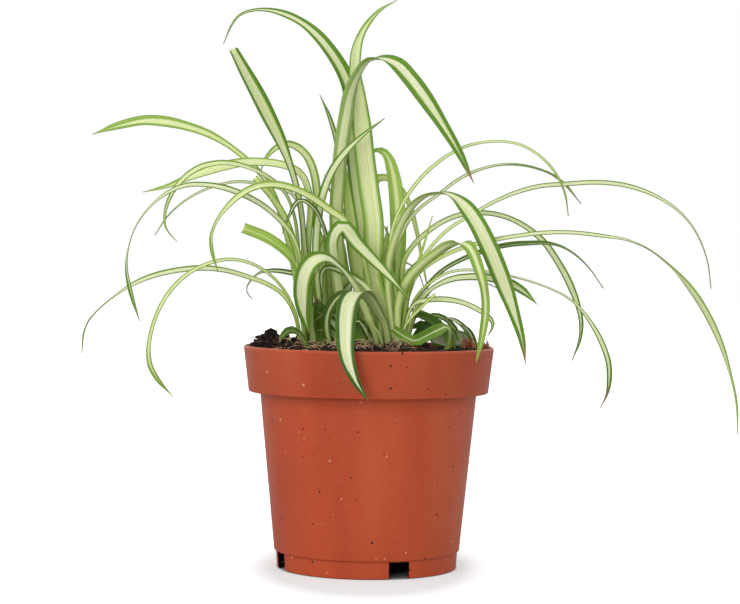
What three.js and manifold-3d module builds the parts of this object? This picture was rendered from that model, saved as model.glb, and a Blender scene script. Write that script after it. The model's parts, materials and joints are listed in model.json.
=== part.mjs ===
// Potted spider plant: a nursery pot, its soil, and one solid for each strap leaf.
// Millimetres, +Z up, origin under the middle of the pot, +Y away from the viewer, +X to the viewer's right.
import * as THREE from "three";
import { mergeVertices } from "three/addons/utils/BufferGeometryUtils.js";
import Module from "manifold-3d";

// Driving dimensions of the pot.
const POT_HEIGHT = 106;
const RIM_RADIUS = 60;
const COLLAR_FOOT_RADIUS = 57.5;
const COLLAR_FOOT_Z = 84.4;
const BODY_TOP_RADIUS = 52;
const BODY_TOP_Z = 84;
const BODY_FOOT_RADIUS = 44.5;
const FOOT_LINE_Z = 8.4;
const FOOT_TOP_RADIUS = 43.6;
const FOOT_RADIUS = 43.1;
const WALL = 1.2;
const FLOOR_WALL = 1.4;
const DISC_RADIUS = 25.5;
const CHANNEL_SLOPE = 1.6;
const CHANNEL_Z = 5.4;
const NOTCH_WIDTH = 10;
const NOTCH_HEIGHT = 8;
const NOTCH_DEPTH = 10;
const NOTCH_COUNT = 4;
const NOTCH_START_DEG = 20.5;
const POT_SIDES = 48;
const FOOT_INNER_TAPER = 0.2;
const FOOT_LINE_STEP = 0.4;
const COLLAR_ROUND = 0.5;
const COLLAR_ROUND_DROP = 0.3;
const LIP_DROP = 0.9;
const LIP_ROUND = 0.2;
const LIP_ROUND_DROP = 0.25;
const LIP_TOP_INSET = 0.7;
const LIP_INNER_DROP = 0.3;

// The soil stands clear of the pot and of each leaf by this much.
const CLEAR = 0.3;
const SLOT_CLEAR = 0.34;
const SOIL_EDGE_Z = 103.4;
const SOIL_SIDES = 40;
const SOIL_RINGS = 8;
const SOIL_RIM_GAP = 0.4;
const SOIL_FLOOR_GAP = 0.3;

// The soil's surface: a low heap round the stems, a pile at the left rim, broad swells and small lumps.
const HEAP = { x: -4, y: 0, height: 3.6, reach: 22 };
const PILE = { x: -48, y: -4, height: 5.4, across: 10.5, depth: 20.5 };
const SWELL = { height: 0.7, x: 0.31, y: 0.27, startX: 1.3, startY: 0.4 };
const LUMPS = { height: 0.35, x: 0.73, y: 0.61 };
const SOIL_FLAT_RADIUS = 58;
const SOIL_EDGE_BLEND = 6;

// Leaves: how far they stand in the soil, how thick a blade is, and how far apart two blades stay.
const ROOT_DEPTH = 4;
const BLADE_THICK = 0.66;
const TIP_WIDTH = 0.9;
const BLADE_APART = 1.45;
const SEGMENT_LENGTH = 19;
const SEGMENT_BEND = 0.42;
const MIN_SEGMENTS = 6;
const MAX_SEGMENTS = 20;
const FINE_STEPS = 240;

// A leaf widens from its base over this stretch of its length, then narrows towards its tip.
const WIDEN_FROM = 0.1;
const WIDEN_SPAN = 0.45;
const NARROW_FROM = 0.42;
const CUT_NARROWING = 0.28;

// The two halves of a blade fold up from its middle line by this angle: at the base, halfway and at the tip.
const FOLD_BASE_DEG = 34;
const FOLD_HALFWAY_DEG = 17;
const FOLD_TIP_DEG = 22;

// How far the clumps fan out in depth.
const FAN_MIDDLE = -6;
const FAN_REACH = 110;
const FAN_GAIN = 2.8;
const FAN_LIMIT = 60;

// Each route is read on the plane through the pot's axis, as seen from this viewpoint.
const VIEWPOINT = new THREE.Vector3(0, -1000, 150);

const LEAF_GREEN = 0x5c8f2e;
const PALE_GREEN = 0x8fb85a;
const DRY_BROWN = 0x8b5a4a;
const SOIL_BROWN = 0x2a1d1a;
const POT_TERRACOTTA = 0xbc502d;

// A leaf: its node, full width, the turn of its blade in degrees from base to tip, and its route.
// Turn 0 has the upper side up and 90 has it facing the viewer. A route point is [across, up, depth].
// base is the share of the width at the soil, and a higher taper keeps the blade wide for longer.
// widths, where given, takes their place: shares of the full width at even steps from base to tip.
function leaf(node, width, turn, route, extra = {}) {
  const usual = { cut: false, base: 0.88, taper: 2.1, widths: null, fanned: true, color: LEAF_GREEN };
  return { node, width, turn, route, ...usual, ...extra };
}

const RIGHT_LEAVES = [
  leaf("leaf_right_01", 2.9, [45, 40, 45, 30], [[11.2, 103.5, 0], [8.5, 130, 0], [7.5, 150, 0],
    [11, 165, 0], [20, 181.5, 1], [30, 192.5, 1], [45, 202, 1], [60, 204.7, 1], [72, 203, 1],
    [84, 195, 1], [92, 183, 1], [95, 169.5, 1]],
    { widths: [0.85, 0.85, 0.85, 0.85, 0.88, 0.88, 0.75, 0.6, 0.75, 0.8, 0.3] }),
  leaf("leaf_right_02", 4.8, [45, 12, 8], [[12.6, 103.5, 5], [10, 130, 5], [9.5, 145, 5.5], [20, 168, 7],
    [30, 176.5, 8], [45, 187.6, 10], [60, 193, 11], [74, 193, 12], [88, 188.3, 12], [101, 175.5, 12]],
    { widths: [0.85, 0.85, 0.85, 0.85, 0.85, 0.85, 0.85, 0.9, 1, 0.95, 0.2] }),
  leaf("leaf_right_03", 3.5, [45, 50, 55, 45, 20], [[14.6, 103.5, 4], [15.5, 125, 4], [20, 139, 4],
    [35, 160, 5], [53, 172, 5], [65, 178.5, 5.5], [80, 183.3, 6], [95, 184.7, 6], [110, 185.5, 6],
    [125, 183.5, 6], [140, 177.6, 6], [153, 167, 6], [161, 152, 6], [164, 135.5, 6]],
    { widths: [0.8, 0.75, 0.65, 0.6, 0.62, 0.78, 0.86, 0.98, 0.68, 0.38, 0.25] }),
  leaf("leaf_right_04", 4.7, [45, 45, 50, 50, 45, 0, -60, -50, -45], [[15.2, 103.5, -1], [16, 122, -2],
    [22, 139, -4], [36, 149.6, -7], [50, 155, -9], [68, 159, -10], [90, 161.5, -12], [112, 159.8, -12],
    [130, 155.8, -12], [146, 144, -12], [160.5, 125.5, -12], [171, 103, -12], [177, 80, -12],
    [177.8, 65.5, -12]], { widths: [0.6, 0.6, 0.62, 0.62, 0.58, 0.55, 0.6, 0.85, 0.88, 0.42, 0.2] }),
  leaf("leaf_right_05", 4.4, [45, 50, 65, 70, 60], [[14.6, 103.5, 9.5], [14.8, 125, 9.5], [16, 147, 9.5],
    [27, 160.5, 10], [40, 168.4, 10], [55, 170.4, 10], [68, 167.4, 10], [82, 158, 10], [93, 142, 10],
    [100.3, 125, 10], [101.5, 113, 10], [97.5, 99.8, 10]],
    { widths: [0.75, 0.75, 0.75, 0.7, 0.66, 0.66, 0.7, 0.9, 1, 0.72, 0.2] }),
  leaf("leaf_right_06", 4.3, [45, 45, 50, 30, 2], [[15.8, 103.5, 3], [17, 120, 3], [24, 131, 2],
    [35, 142.5, 1], [48, 149.5, 0], [62, 154.2, -1], [76, 155.8, -2], [90, 155.2, -2], [102, 148, -2],
    [112.3, 135, -2]], { widths: [0.7, 0.7, 0.7, 0.7, 0.7, 0.75, 0.88, 1, 0.5, 0.28, 0.2] }),
  leaf("leaf_right_07", 9, [-30, -35, -35, -35, 5, 65, 75, 70, 60], [[12.4, 103.5, -4], [9.5, 128, -4],
    [9, 145, -5], [13, 160, -7], [20, 173, -9], [28, 178.4, -12], [37, 179, -15], [46.5, 172, -18],
    [54, 160.5, -20], [63.4, 140, -22], [70.5, 120, -23], [74.8, 104, -23], [75.5, 97.5, -23]],
    { widths: [0.4, 0.4, 0.42, 0.45, 0.5, 0.7, 0.92, 1, 0.97, 0.54, 0.1] }),
  leaf("leaf_right_08", 5.8, [-40, -45, -50, -50, -35, 60, 10, 35, 40], [[13.8, 103.5, -8],
    [15, 130, -9], [20, 140, -12], [30, 149.5, -17], [40, 155.4, -23], [48, 153.8, -30], [53, 141, -36],
    [55.6, 127, -41], [54.5, 113, -43], [51.4, 97.5, -46]],
    { widths: [0.55, 0.6, 0.7, 0.8, 0.85, 0.9, 1, 0.9, 0.75, 0.62, 0.15] }),
  leaf("leaf_right_09", 3.5, [45, 45, 30, 15, 50, 45], [[16.2, 103.5, 1], [19, 122, 0], [24, 131.5, -2],
    [38, 141.5, -6], [52, 142.5, -8], [68, 140, -10], [84, 135.5, -10], [98, 128, -10],
    [108, 115.5, -10], [115, 99, -10], [114.5, 84, -10], [111.5, 77.5, -10]],
    { widths: [0.7, 0.7, 0.7, 0.7, 0.65, 0.6, 0.5, 0.6, 0.92, 0.95, 0.25] }),
  leaf("leaf_right_10", 5, [45, 40, 60, 70], [[16.6, 103.5, -3], [20, 120, -5], [28, 132, -8],
    [40, 138.5, -11], [52, 139.5, -13], [66, 137.3, -15], [74, 133, -15], [81, 126.5, -15]],
    { widths: [0.8, 0.8, 0.8, 0.8, 0.8, 0.8, 0.8, 0.85, 0.95, 0.8, 0.2] }),
  leaf("leaf_right_11", 3, [45, 60, 70, 70, 50], [[17.4, 103.5, -6], [17, 115, -7], [21, 126, -9],
    [30, 128.4, -12], [42, 128, -16], [54, 123, -21], [59.5, 117.5, -24], [56.7, 111, -26]],
    { widths: [0.9, 0.9, 0.9, 0.9, 0.95, 1, 1, 0.85, 0.9, 0.75, 0.3] }),
  leaf("leaf_right_12", 2.6, [45, 70, 80], [[15, 103.5, -3.5], [17.5, 122, -5], [21, 138, -7],
    [25.5, 153, -8], [29.8, 169, -9]], { color: PALE_GREEN }),
  leaf("leaf_right_13", 4.8, [45, 45, 50, 70, 60], [[5, 103.5, 14], [2, 130, 16], [0, 155, 17],
    [0.5, 175, 18], [3, 186, 18], [9, 186, 18], [16, 178.5, 18], [21, 165, 18], [24.3, 150, 18],
    [28.7, 130, 18]], { color: PALE_GREEN }),
  leaf("leaf_right_14", 1.8, [45, 50, 60], [[12.8, 103.5, 12], [13.5, 122, 18], [11, 135, 22],
    [10.5, 143.5, 22], [15, 146.3, 22], [21, 143.6, 22], [26.3, 134.6, 22]]),
  leaf("leaf_right_15", 3, [45, 30, 30, 10], [[17, 103.5, 5], [22, 122, 5], [30, 134, 5], [46, 139.4, 5],
    [62.5, 134, 5]]),
  leaf("leaf_right_16", 3, [45, 60, 60], [[14.8, 103.5, -9], [17, 115, -11], [24, 123.5, -15],
    [31.7, 131, -18]], { cut: true, color: PALE_GREEN }),
  leaf("leaf_right_17", 5.8, [80, 75, 75], [[36, 103.5, -6], [38.5, 110, -9], [37.8, 115.6, -12],
    [34.5, 114.6, -13.5], [28, 111.4, -16], [21.3, 108.6, -18], [15.5, 111.8, -18], [11, 114.4, -18]],
    { cut: true, widths: [0.6, 0.6, 0.5, 0.3, 0.6, 1, 1, 0.95, 0.95, 0.9, 0.7] }),
  leaf("leaf_right_18", 2, [45, 50, 50], [[15.5, 103.5, 6], [15.8, 115, 6], [20, 123.4, 6], [27, 122, 6],
    [36, 115.5, 6]]),
  leaf("leaf_right_19", 4.5, [45, 30, 40], [[9, 103.5, 6], [9.6, 130, 6], [10, 150, 6], [6.5, 163.5, 6]],
    { cut: true }),
];

const MIDDLE_LEAVES = [
  leaf("leaf_middle_01", 10.6, [45, 50, 70, 75, 60, 30], [[10.9, 103.5, -2], [9, 118, -2], [4.5, 142, 0],
    [2.6, 160, 2], [-0.9, 179.6, 3], [-3.7, 199.3, 3], [-6.2, 222, 1], [-8.3, 241.7, 0],
    [-5.6, 254.5, 0], [2, 265.4, 0], [11.4, 271.8, 0]],
    { widths: [0.8, 0.85, 0.92, 1, 1, 1, 0.97, 0.74, 0.54, 0.31, 0.09] }),
  leaf("leaf_middle_02", 8.6, [-40, -45, -50, -55, -50, 0, 70, 72, 60], [[-6, 103.5, 5], [-10, 125, 5],
    [-14, 145, 5], [-16.2, 165, 4], [-15.2, 190, 1], [-12.5, 214, -1], [-8.5, 231, -4], [-1, 242.6, -6],
    [9, 242.2, -8], [18, 235, -11], [29.2, 220, -13], [41.7, 200.3, -15], [49.6, 184.2, -16]],
    { widths: [0.85, 0.85, 0.85, 0.85, 0.85, 0.88, 0.9, 0.95, 0.95, 0.58, 0.1] }),
  leaf("leaf_middle_03", 9, [45, 45, 50, 65, 65, 50], [[3.5, 103.5, 7], [1, 130, 8], [-3, 155, 9],
    [-7.5, 183, 9], [-10.2, 208, 8], [-11, 229, 6], [-20.6, 247.3, 4], [-35, 261, 4], [-52, 266.4, 4],
    [-64, 263.4, 4], [-71.4, 250, 4]],
    { widths: [0.88, 0.88, 0.9, 0.95, 1, 1, 0.93, 0.8, 0.5, 0.2, 0.1] }),
  leaf("leaf_middle_04", 5.6, [45, 50, 70, 70, 60], [[-23, 103.5, 1], [-25.5, 125, 0], [-26.3, 145, -1],
    [-24.6, 168, -2], [-19.5, 187, -4], [-10, 201, -6], [6.5, 215.5, -7]],
    { widths: [0.9, 0.95, 1, 1, 1, 1, 1, 0.95, 0.8, 0.5, 0.16] }),
  leaf("leaf_middle_05", 4.6, [45, 30, 40], [[-7.5, 103.5, 9], [-11, 130, 9], [-15, 155, 9],
    [-16.5, 180, 8], [-17.4, 205, 7], [-25, 226.4, 6]],
    { widths: [0.88, 0.9, 0.95, 1, 1, 1, 1, 0.95, 0.9, 0.75, 0.2] }),
  leaf("leaf_middle_06", 8.2, [60, 70, 75, 75, 60], [[12.6, 103.5, 10.5], [13, 125, 10.5],
    [13.5, 152, 10.5], [12.8, 172, 10.5], [10.2, 190, 11], [6.5, 198.6, 11], [2, 199.8, 11.5],
    [-2, 195, 12]], { taper: 4 }),
  leaf("leaf_middle_07", 3, [45, 40, 50], [[5, 103.5, 10], [4.5, 135, 13], [1, 155, 14], [-9, 166, 14],
    [-18.5, 178, 14], [-22.5, 188.5, 14]]),
  leaf("leaf_middle_08", 8.4, [45, 80, 80, 60, 60], [[-11, 103.5, -3], [-13, 125, -5.5], [-15.5, 142, -8],
    [-17, 158, -12], [-13, 163, -13.5], [-5, 153.8, -14.5], [5, 144, -15.5], [14, 134.5, -16.5],
    [20, 127.5, -17]], { base: 0.62 }),
  leaf("leaf_middle_09", 11, [0, 0, 0], [[9, 103.5, -8], [7.6, 114, -11], [3.6, 122.4, -19],
    [-1.6, 129.5, -29], [-5.8, 131.3, -38], [-10, 125.5, -49], [-11.2, 112, -60.5], [-10.4, 101, -65.5],
    [-7, 91, -67], [0.5, 78.7, -67]], { base: 0.4, taper: 2.6 }),
  leaf("leaf_middle_10", 9.2, [45, 60, 25, 70, 75], [[5.5, 103.5, -9], [2, 115, -11], [-5, 129, -15],
    [-13, 141, -18], [-21.5, 147.6, -20], [-28, 145.5, -21], [-32.2, 137, -21], [-31.8, 123, -20],
    [-28.3, 110.5, -19]], { base: 0.45, taper: 5 }),
  leaf("leaf_middle_11", 5, [45, 50, 60, 60], [[5.8, 103.5, -4], [6, 115, -5], [4.8, 124, -7],
    [-2.5, 135, -10.5], [-14, 141.5, -13], [-21.5, 143, -14.5], [-23.3, 137, -14.5],
    [-19.5, 127.5, -14.5]]),
  leaf("leaf_middle_12", 2.3, [45, 60], [[6.8, 103.5, -12], [4.5, 112, -13], [0.5, 117, -14],
    [-3.8, 119.3, -15]], { color: PALE_GREEN }),
  leaf("leaf_middle_13", 3.5, [45, 60], [[4, 103.5, -5], [1, 115, -6], [-3.5, 126, -8]]),
  leaf("leaf_middle_14", 3, [45, 70], [[-4.8, 103.5, -4], [-4.6, 113, -5], [-4.5, 124, -6]],
    { color: PALE_GREEN }),
];

// Broad young leaves that fill the middle of the plant.
const INNER_LEAVES = [
  leaf("leaf_inner_01", 9, [55, 65, 70, 70], [[-1, 103.5, 8], [-3, 130, 12], [-7.5, 156, 13],
    [-10.5, 176, 13], [-12, 193, 13]], { color: PALE_GREEN }),
  leaf("leaf_inner_02", 8.6, [50, 60, 65, 60], [[-14, 103.5, 8], [-17.5, 126, 10], [-21.5, 146, 11],
    [-26, 166, 11]], { color: PALE_GREEN }),
  leaf("leaf_inner_03", 8.2, [50, 60, 65, 60], [[1, 103.5, 2], [3.5, 125, 5], [7, 146, 6], [8.6, 164, 6]],
    { color: PALE_GREEN }),
  leaf("leaf_inner_04", 7.6, [50, 70, 75, 60], [[-17, 103.5, -6], [-20, 114, -9], [-18.5, 124, -11],
    [-11.5, 131, -12], [-4.5, 127, -13]]),
];

const LEFT_LEAVES = [
  leaf("leaf_left_01", 9.4, [60, 65, 75, 80], [[-27, 103.5, 2], [-30, 125, 1], [-32, 145, 0],
    [-34, 172, -1], [-39, 191.5, -2.5], [-48, 211.5, -3.5], [-57.9, 230, -5], [-67.3, 247.6, -7]],
    { cut: true, widths: [0.5, 0.5, 0.48, 0.45, 0.42, 0.42, 0.48, 0.84, 1, 0.86, 0.55] }),
  leaf("leaf_left_02", 6.8, [45, 45, 50, 60, 60, 50], [[-29.5, 103.5, 9], [-35, 135, 12], [-42, 165, 12],
    [-50, 184, 12], [-62, 196.4, 12], [-75.5, 205.4, 12], [-92, 210.8, 12], [-109.4, 212.3, 12],
    [-134, 206, 12]], { widths: [0.55, 0.55, 0.55, 0.5, 0.5, 0.48, 0.45, 0.68, 0.97, 0.92, 0.13] }),
  leaf("leaf_left_03", 7, [45, 45, 45, 50, 40], [[-28, 103.5, 5], [-30, 130, 4.5], [-30.5, 155, 4],
    [-29.5, 175, 3.5], [-34, 188, 3], [-46, 192.6, 3], [-60, 193, 3], [-79.8, 188, 3], [-99.5, 180.6, 3],
    [-109.4, 178.6, 3]],
    { color: PALE_GREEN, widths: [0.6, 0.6, 0.6, 0.6, 0.6, 0.65, 0.75, 0.85, 1, 0.55, 0.13] }),
  leaf("leaf_left_04", 5.5, [45, 30, 50], [[-29, 103.5, 1], [-32, 130, 0], [-34.5, 155, -1],
    [-40.5, 177, -2], [-52, 187.5, -5], [-69, 192.6, -7.5], [-84, 189.5, -8.5], [-95.5, 177.6, -9],
    [-98.5, 163, -9], [-92.6, 155, -9]]),
  leaf("leaf_left_05", 3, [45, 30, 40], [[-30.8, 103.5, 10], [-32.5, 135, 14], [-33, 160, 16],
    [-36.5, 177, 16], [-50.2, 182.3, 16], [-66, 183.6, 16], [-82.3, 178.5, 16], [-95, 169.6, 16],
    [-103.4, 158, 16]], { widths: [0.85, 0.85, 0.85, 0.85, 0.85, 0.9, 0.95, 0.9, 0.8, 0.5, 0.3] }),
  leaf("leaf_left_06", 4.6, [45, 50, 50, 40, 0, 40], [[-31, 103.5, -3], [-33.5, 128, -6], [-36, 154, -9],
    [-44.6, 166.5, -10.5], [-57, 175.5, -12], [-72, 181, -12.5], [-89.6, 181.6, -13],
    [-103.4, 173.7, -14], [-113.5, 160, -14], [-116.5, 143, -14], [-110.3, 116.5, -14]],
    { widths: [0.85, 0.85, 0.85, 0.9, 0.9, 1, 0.75, 0.42, 0.2, 0.75, 0.2] }),
  leaf("leaf_left_07", 4.8, [45, 45, 50, 65, 65, 60, 55, 5, 50], [[7, 103.5, -3], [3, 125, -5],
    [-4, 150, -7], [-10.8, 163.8, -8], [-20.1, 171, -9], [-33, 179.2, -12], [-46.8, 182.8, -14.5],
    [-59, 180, -16.5], [-70, 170, -17], [-76, 157.5, -18], [-72.9, 140.6, -18]],
    { widths: [0.88, 0.9, 0.95, 1, 1, 1, 0.9, 0.8, 0.65, 0.65, 0.2] }),
  leaf("leaf_left_08", 3.9, [45, 45, 45, 45, 45, 5, 45], [[-32, 103.5, 3], [-34.5, 119, 3],
    [-42, 130.5, 3], [-56.4, 137.5, 3], [-74.8, 142, 3], [-95, 140.5, 3], [-111.3, 135.2, 3],
    [-126.1, 125.4, 3], [-135.5, 115, 3], [-138, 101, 3]],
    { widths: [0.75, 0.75, 0.75, 0.8, 0.85, 1, 1, 0.9, 0.6, 0.5, 0.23] }),
  leaf("leaf_left_09", 3.8, [45, 40, 40, 40, 45], [[-32, 103.5, -1], [-34.5, 121, -2], [-44, 136, -3.5],
    [-56.5, 144.5, -5], [-70, 146.4, -6.5], [-86, 140.3, -7], [-97.5, 128.5, -7], [-104.7, 110.6, -7],
    [-104.5, 95, -7], [-94, 80.5, -7]],
    { widths: [0.7, 0.7, 0.7, 0.68, 0.65, 0.65, 0.68, 0.7, 0.7, 0.95, 0.23] }),
  leaf("leaf_left_10", 6.2, [45, 50, 65], [[-29.3, 103.5, 4], [-31, 125, 4], [-33.5, 143, 4],
    [-44.9, 154.5, 3], [-61.2, 161.7, 2]],
    { cut: true, widths: [0.6, 0.6, 0.6, 0.6, 0.65, 0.7, 0.8, 0.95, 1, 1, 0.95] }),
  leaf("leaf_left_11", 3.6, [45, 50, 50, 40], [[-28, 103.5, 11], [-29, 125, 15], [-32, 138, 18],
    [-42, 141, 19], [-53, 140.3, 19], [-59.2, 132.5, 19], [-56.4, 127.8, 19]]),
  leaf("leaf_left_12", 4.8, [45, 30, 50, 60], [[-25, 103.5, 7], [-26, 130, 7.5], [-26.5, 160, 7.5],
    [-27, 186, 7.5], [-32.5, 198.3, 7.5], [-41, 202.2, 7.5], [-49.5, 196.5, 7.5], [-53, 189, 7.5]],
    { widths: [0.8, 0.8, 0.85, 0.9, 0.95, 1, 1, 1, 0.95, 0.75, 0.2] }),
  leaf("leaf_left_13", 5, [45, 40, 50], [[-27.5, 103.5, 0], [-31, 130, 0.5], [-36, 152, 0.5],
    [-44, 171.5, 0.5], [-56, 186, 0.5]], { cut: true, color: PALE_GREEN }),
  leaf("leaf_left_14", 4.8, [45, 50, 60], [[-17, 103.5, 3], [-18, 130, 0], [-20.5, 154, -3.5],
    [-27, 171, -4.5], [-34, 175.4, -5], [-39, 168, -5], [-42.5, 158.8, -5]]),
  leaf("leaf_left_15", 3, [45, 60, 60], [[-26, 103.5, -6], [-27.8, 121, -10], [-27, 137, -13],
    [-22.5, 147, -14]], { color: PALE_GREEN }),
  leaf("leaf_left_16", 4.6, [45, 60], [[-30, 103.5, -24], [-33, 110.5, -25], [-38, 113, -27],
    [-42.4, 109.5, -29], [-43.2, 107, -30]], { widths: [0.8, 0.9, 1, 1, 1, 1, 1, 0.95, 0.9, 0.8, 0.35] }),
];

// Leaves hidden behind the clumps from the front. Their forms are guesses.
const BACK_LEAVES = [
  leaf("leaf_back_01", 6, [0, 0, 0], [[-12, 103.5, 16], [-14, 140, 24], [-16, 158, 42], [-18, 152, 70],
    [-20, 128, 88], [-21, 106, 96]], { fanned: false }),
  leaf("leaf_back_02", 5.4, [0, 0, 0], [[6, 103.5, 17], [9, 142, 28], [11, 156, 50], [12, 148, 76],
    [13, 122, 90]], { fanned: false }),
  leaf("leaf_back_03", 5, [0, 0, 0], [[-19, 103.5, 14], [-22, 134, 26], [-25, 150, 42], [-28, 146, 58],
    [-29, 128, 68], [-29, 110, 72]], { fanned: false }),
  leaf("leaf_back_04", 5, [0, 0, 0], [[14, 103.5, 14], [15, 130, 26], [17, 143, 44], [18, 134, 62],
    [18, 114, 70]], { fanned: false }),
];

// The dry tuft at the right of the rim: three short leaves, fused in one brown crown.
const TUFT_CROWN = { x: 52, y: -1, z: 102.5, radius: 2.6, topRadius: 1.82, height: 4, sides: 10 };
const TUFT_LEAVES = [
  leaf("tuft_upper", 2.2, [20, 50], [[52, 103.5, -1], [50.5, 111, 1.5], [43.5, 118.3, 2], [34.2, 120, 2]]),
  leaf("tuft_middle", 3, [30, 60], [[52, 103.5, -1], [51, 111, -3], [47.5, 118, -4], [42.5, 118.7, -4]]),
  leaf("tuft_lower", 6.6, [60, 70], [[52, 103.5, -1], [48.5, 109.5, 4], [40, 110.5, 6.5], [31.5, 107.6, 7]]),
];

const wasm = await Module();
wasm.setup();

function material(name, color, roughness) {
  return new THREE.MeshStandardMaterial({ name, color, roughness });
}

function clamp01(value) {
  return Math.min(1, Math.max(0, value));
}

function smooth(value) {
  const t = clamp01(value);
  return t * t * (3 - 2 * t);
}

// A value read along a short list, base to tip, with t from 0 to 1.
function along(list, t) {
  const place = clamp01(t) * (list.length - 1);
  const low = Math.min(Math.floor(place), list.length - 2);
  return list[low] + (list[low + 1] - list[low]) * smooth(place - low);
}

// The clumps fan out: away from the crowns a leaf in front comes further forward and one behind goes further
// back. The share depends only on where the point is seen, so the order of the leaves stays as it was.
function fannedDepth([across, up, depth]) {
  const away = Math.hypot(across - FAN_MIDDLE, (up - POT_HEIGHT) / 4);
  const gain = FAN_GAIN * smooth(away / FAN_REACH);
  return (depth * (1 + gain)) / (1 + (Math.abs(depth) * gain) / FAN_LIMIT);
}

function fromViewpoint([across, up, depth]) {
  const onPlane = new THREE.Vector3(across, 0, up);
  const reach = (depth - VIEWPOINT.y) / -VIEWPOINT.y;
  return onPlane.sub(VIEWPOINT).multiplyScalar(reach).add(VIEWPOINT);
}

// The leaf's middle line as stations, starting below the soil and closer together where the leaf bends.
function stationsOf(spec) {
  const fanned = ([across, up, depth]) => [across, up, fannedDepth([across, up, depth])];
  const points = spec.route.map((seen) => fromViewpoint(spec.fanned ? fanned(seen) : seen));
  const foot = points[0].clone();
  foot.z -= ROOT_DEPTH;
  const curve = new THREE.CatmullRomCurve3([foot, ...points], false, "centripetal");
  const fine = curve.getSpacedPoints(FINE_STEPS);
  const cost = [0];
  for (let i = 1; i <= FINE_STEPS; i += 1) {
    const step = fine[i].clone().sub(fine[i - 1]);
    const next = fine[Math.min(i + 1, FINE_STEPS)].clone().sub(fine[Math.min(i, FINE_STEPS - 1)]);
    cost.push(cost[i - 1] + step.length() / SEGMENT_LENGTH + step.angleTo(next) / SEGMENT_BEND);
  }
  const total = cost[FINE_STEPS];
  const segments = Math.min(MAX_SEGMENTS, Math.max(MIN_SEGMENTS, Math.round(total)));
  const stations = [];
  let at = 0;
  for (let k = 0; k <= segments; k += 1) {
    const wanted = (total * k) / segments;
    while (at < FINE_STEPS - 1 && cost[at + 1] < wanted) {
      at += 1;
    }
    const share = clamp01((wanted - cost[at]) / (cost[at + 1] - cost[at]));
    stations.push(fine[at].clone().lerp(fine[at + 1], share));
  }
  return stations;
}

// Distance along the middle line at each station, as a share of the whole.
function sharesOf(points) {
  const shares = [0];
  for (let i = 1; i < points.length; i += 1) {
    shares.push(shares[i - 1] + points[i].distanceTo(points[i - 1]));
  }
  const length = shares[shares.length - 1];
  return shares.map((share) => share / length);
}

// Width along the leaf as a share of its full width.
function widthShare(spec, t) {
  if (spec.widths) {
    return along(spec.widths, t);
  }
  const rise = spec.base + (1 - spec.base) * smooth((t - WIDEN_FROM) / WIDEN_SPAN);
  const late = clamp01((t - NARROW_FROM) / (1 - NARROW_FROM));
  const fall = spec.cut ? 1 - CUT_NARROWING * late * late : 1 - Math.pow(late, spec.taper);
  return rise * fall;
}

function foldAt(t) {
  const opening = (FOLD_HALFWAY_DEG - FOLD_BASE_DEG) * smooth(t / 0.45);
  const closing = (FOLD_TIP_DEG - FOLD_HALFWAY_DEG) * smooth((t - 0.5) / 0.5);
  return THREE.MathUtils.degToRad(FOLD_BASE_DEG + opening + closing);
}

// Width and upper directions at each station, from the route and the turn of the blade.
function bladeFrames(spec, points) {
  const first = points[0];
  const last = points[points.length - 1];
  const heading = new THREE.Vector3(last.x - first.x, last.y - first.y, 0).normalize();
  const level = new THREE.Vector3(0, 0, 1).cross(heading);
  const side = last.x >= first.x ? 1 : -1;
  const shares = sharesOf(points);
  return points.map((point, i) => {
    const before = points[Math.max(0, i - 1)];
    const after = points[Math.min(points.length - 1, i + 1)];
    const tangent = after.clone().sub(before).normalize();
    const flat = level.clone().addScaledVector(tangent, -level.dot(tangent)).normalize();
    const upper = tangent.clone().cross(flat);
    const t = shares[i];
    const turn = THREE.MathUtils.degToRad(along(spec.turn, t));
    const across = flat.multiplyScalar(Math.cos(turn)).addScaledVector(upper, side * Math.sin(turn));
    const width = Math.max(TIP_WIDTH, spec.width * widthShare(spec, t));
    return { point, across, up: tangent.clone().cross(across), width, fold: foldAt(t) };
  });
}

// A point of the blade's middle surface: share runs from -1 at one edge to 1 at the other.
function bladePoint(frame, share) {
  const half = (frame.width / 2) * Math.abs(share);
  return frame.point.clone()
    .addScaledVector(frame.across, Math.sign(share) * half * Math.cos(frame.fold))
    .addScaledVector(frame.up, half * Math.sin(frame.fold));
}

// A closed blade through the given frames, grown by grow on every side.
function bladeGeometry(frames, grow = 0) {
  const positions = [];
  for (const frame of frames) {
    const wide = { ...frame, width: frame.width + 2 * grow };
    const lift = (BLADE_THICK / 2 + grow) / Math.cos(frame.fold);
    for (const [side, shares] of [[1, [-1, 0, 1]], [-1, [1, 0, -1]]]) {
      for (const share of shares) {
        positions.push(...bladePoint(wide, share).addScaledVector(frame.up, side * lift).toArray());
      }
    }
  }
  const index = [];
  const ring = 6;
  for (let i = 0; i + 1 < frames.length; i += 1) {
    for (let k = 0; k < ring; k += 1) {
      const a = i * ring + k;
      const b = i * ring + ((k + 1) % ring);
      const c = a + ring;
      const d = b + ring;
      // The under face is split along the same lines as the upper face.
      if (k < 3) {
        index.push(a, c, b, b, c, d);
      } else {
        index.push(a, d, b, a, c, d);
      }
    }
  }
  const end = (frames.length - 1) * ring;
  for (const [p, q, r, s] of [[0, 1, 4, 5], [1, 2, 3, 4]]) {
    index.push(p, q, r, p, r, s);
    index.push(end + p, end + r, end + q, end + p, end + s, end + r);
  }
  const geometry = new THREE.BufferGeometry();
  geometry.setAttribute("position", new THREE.Float32BufferAttribute(positions, 3));
  geometry.setIndex(index);
  return geometry;
}

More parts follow.
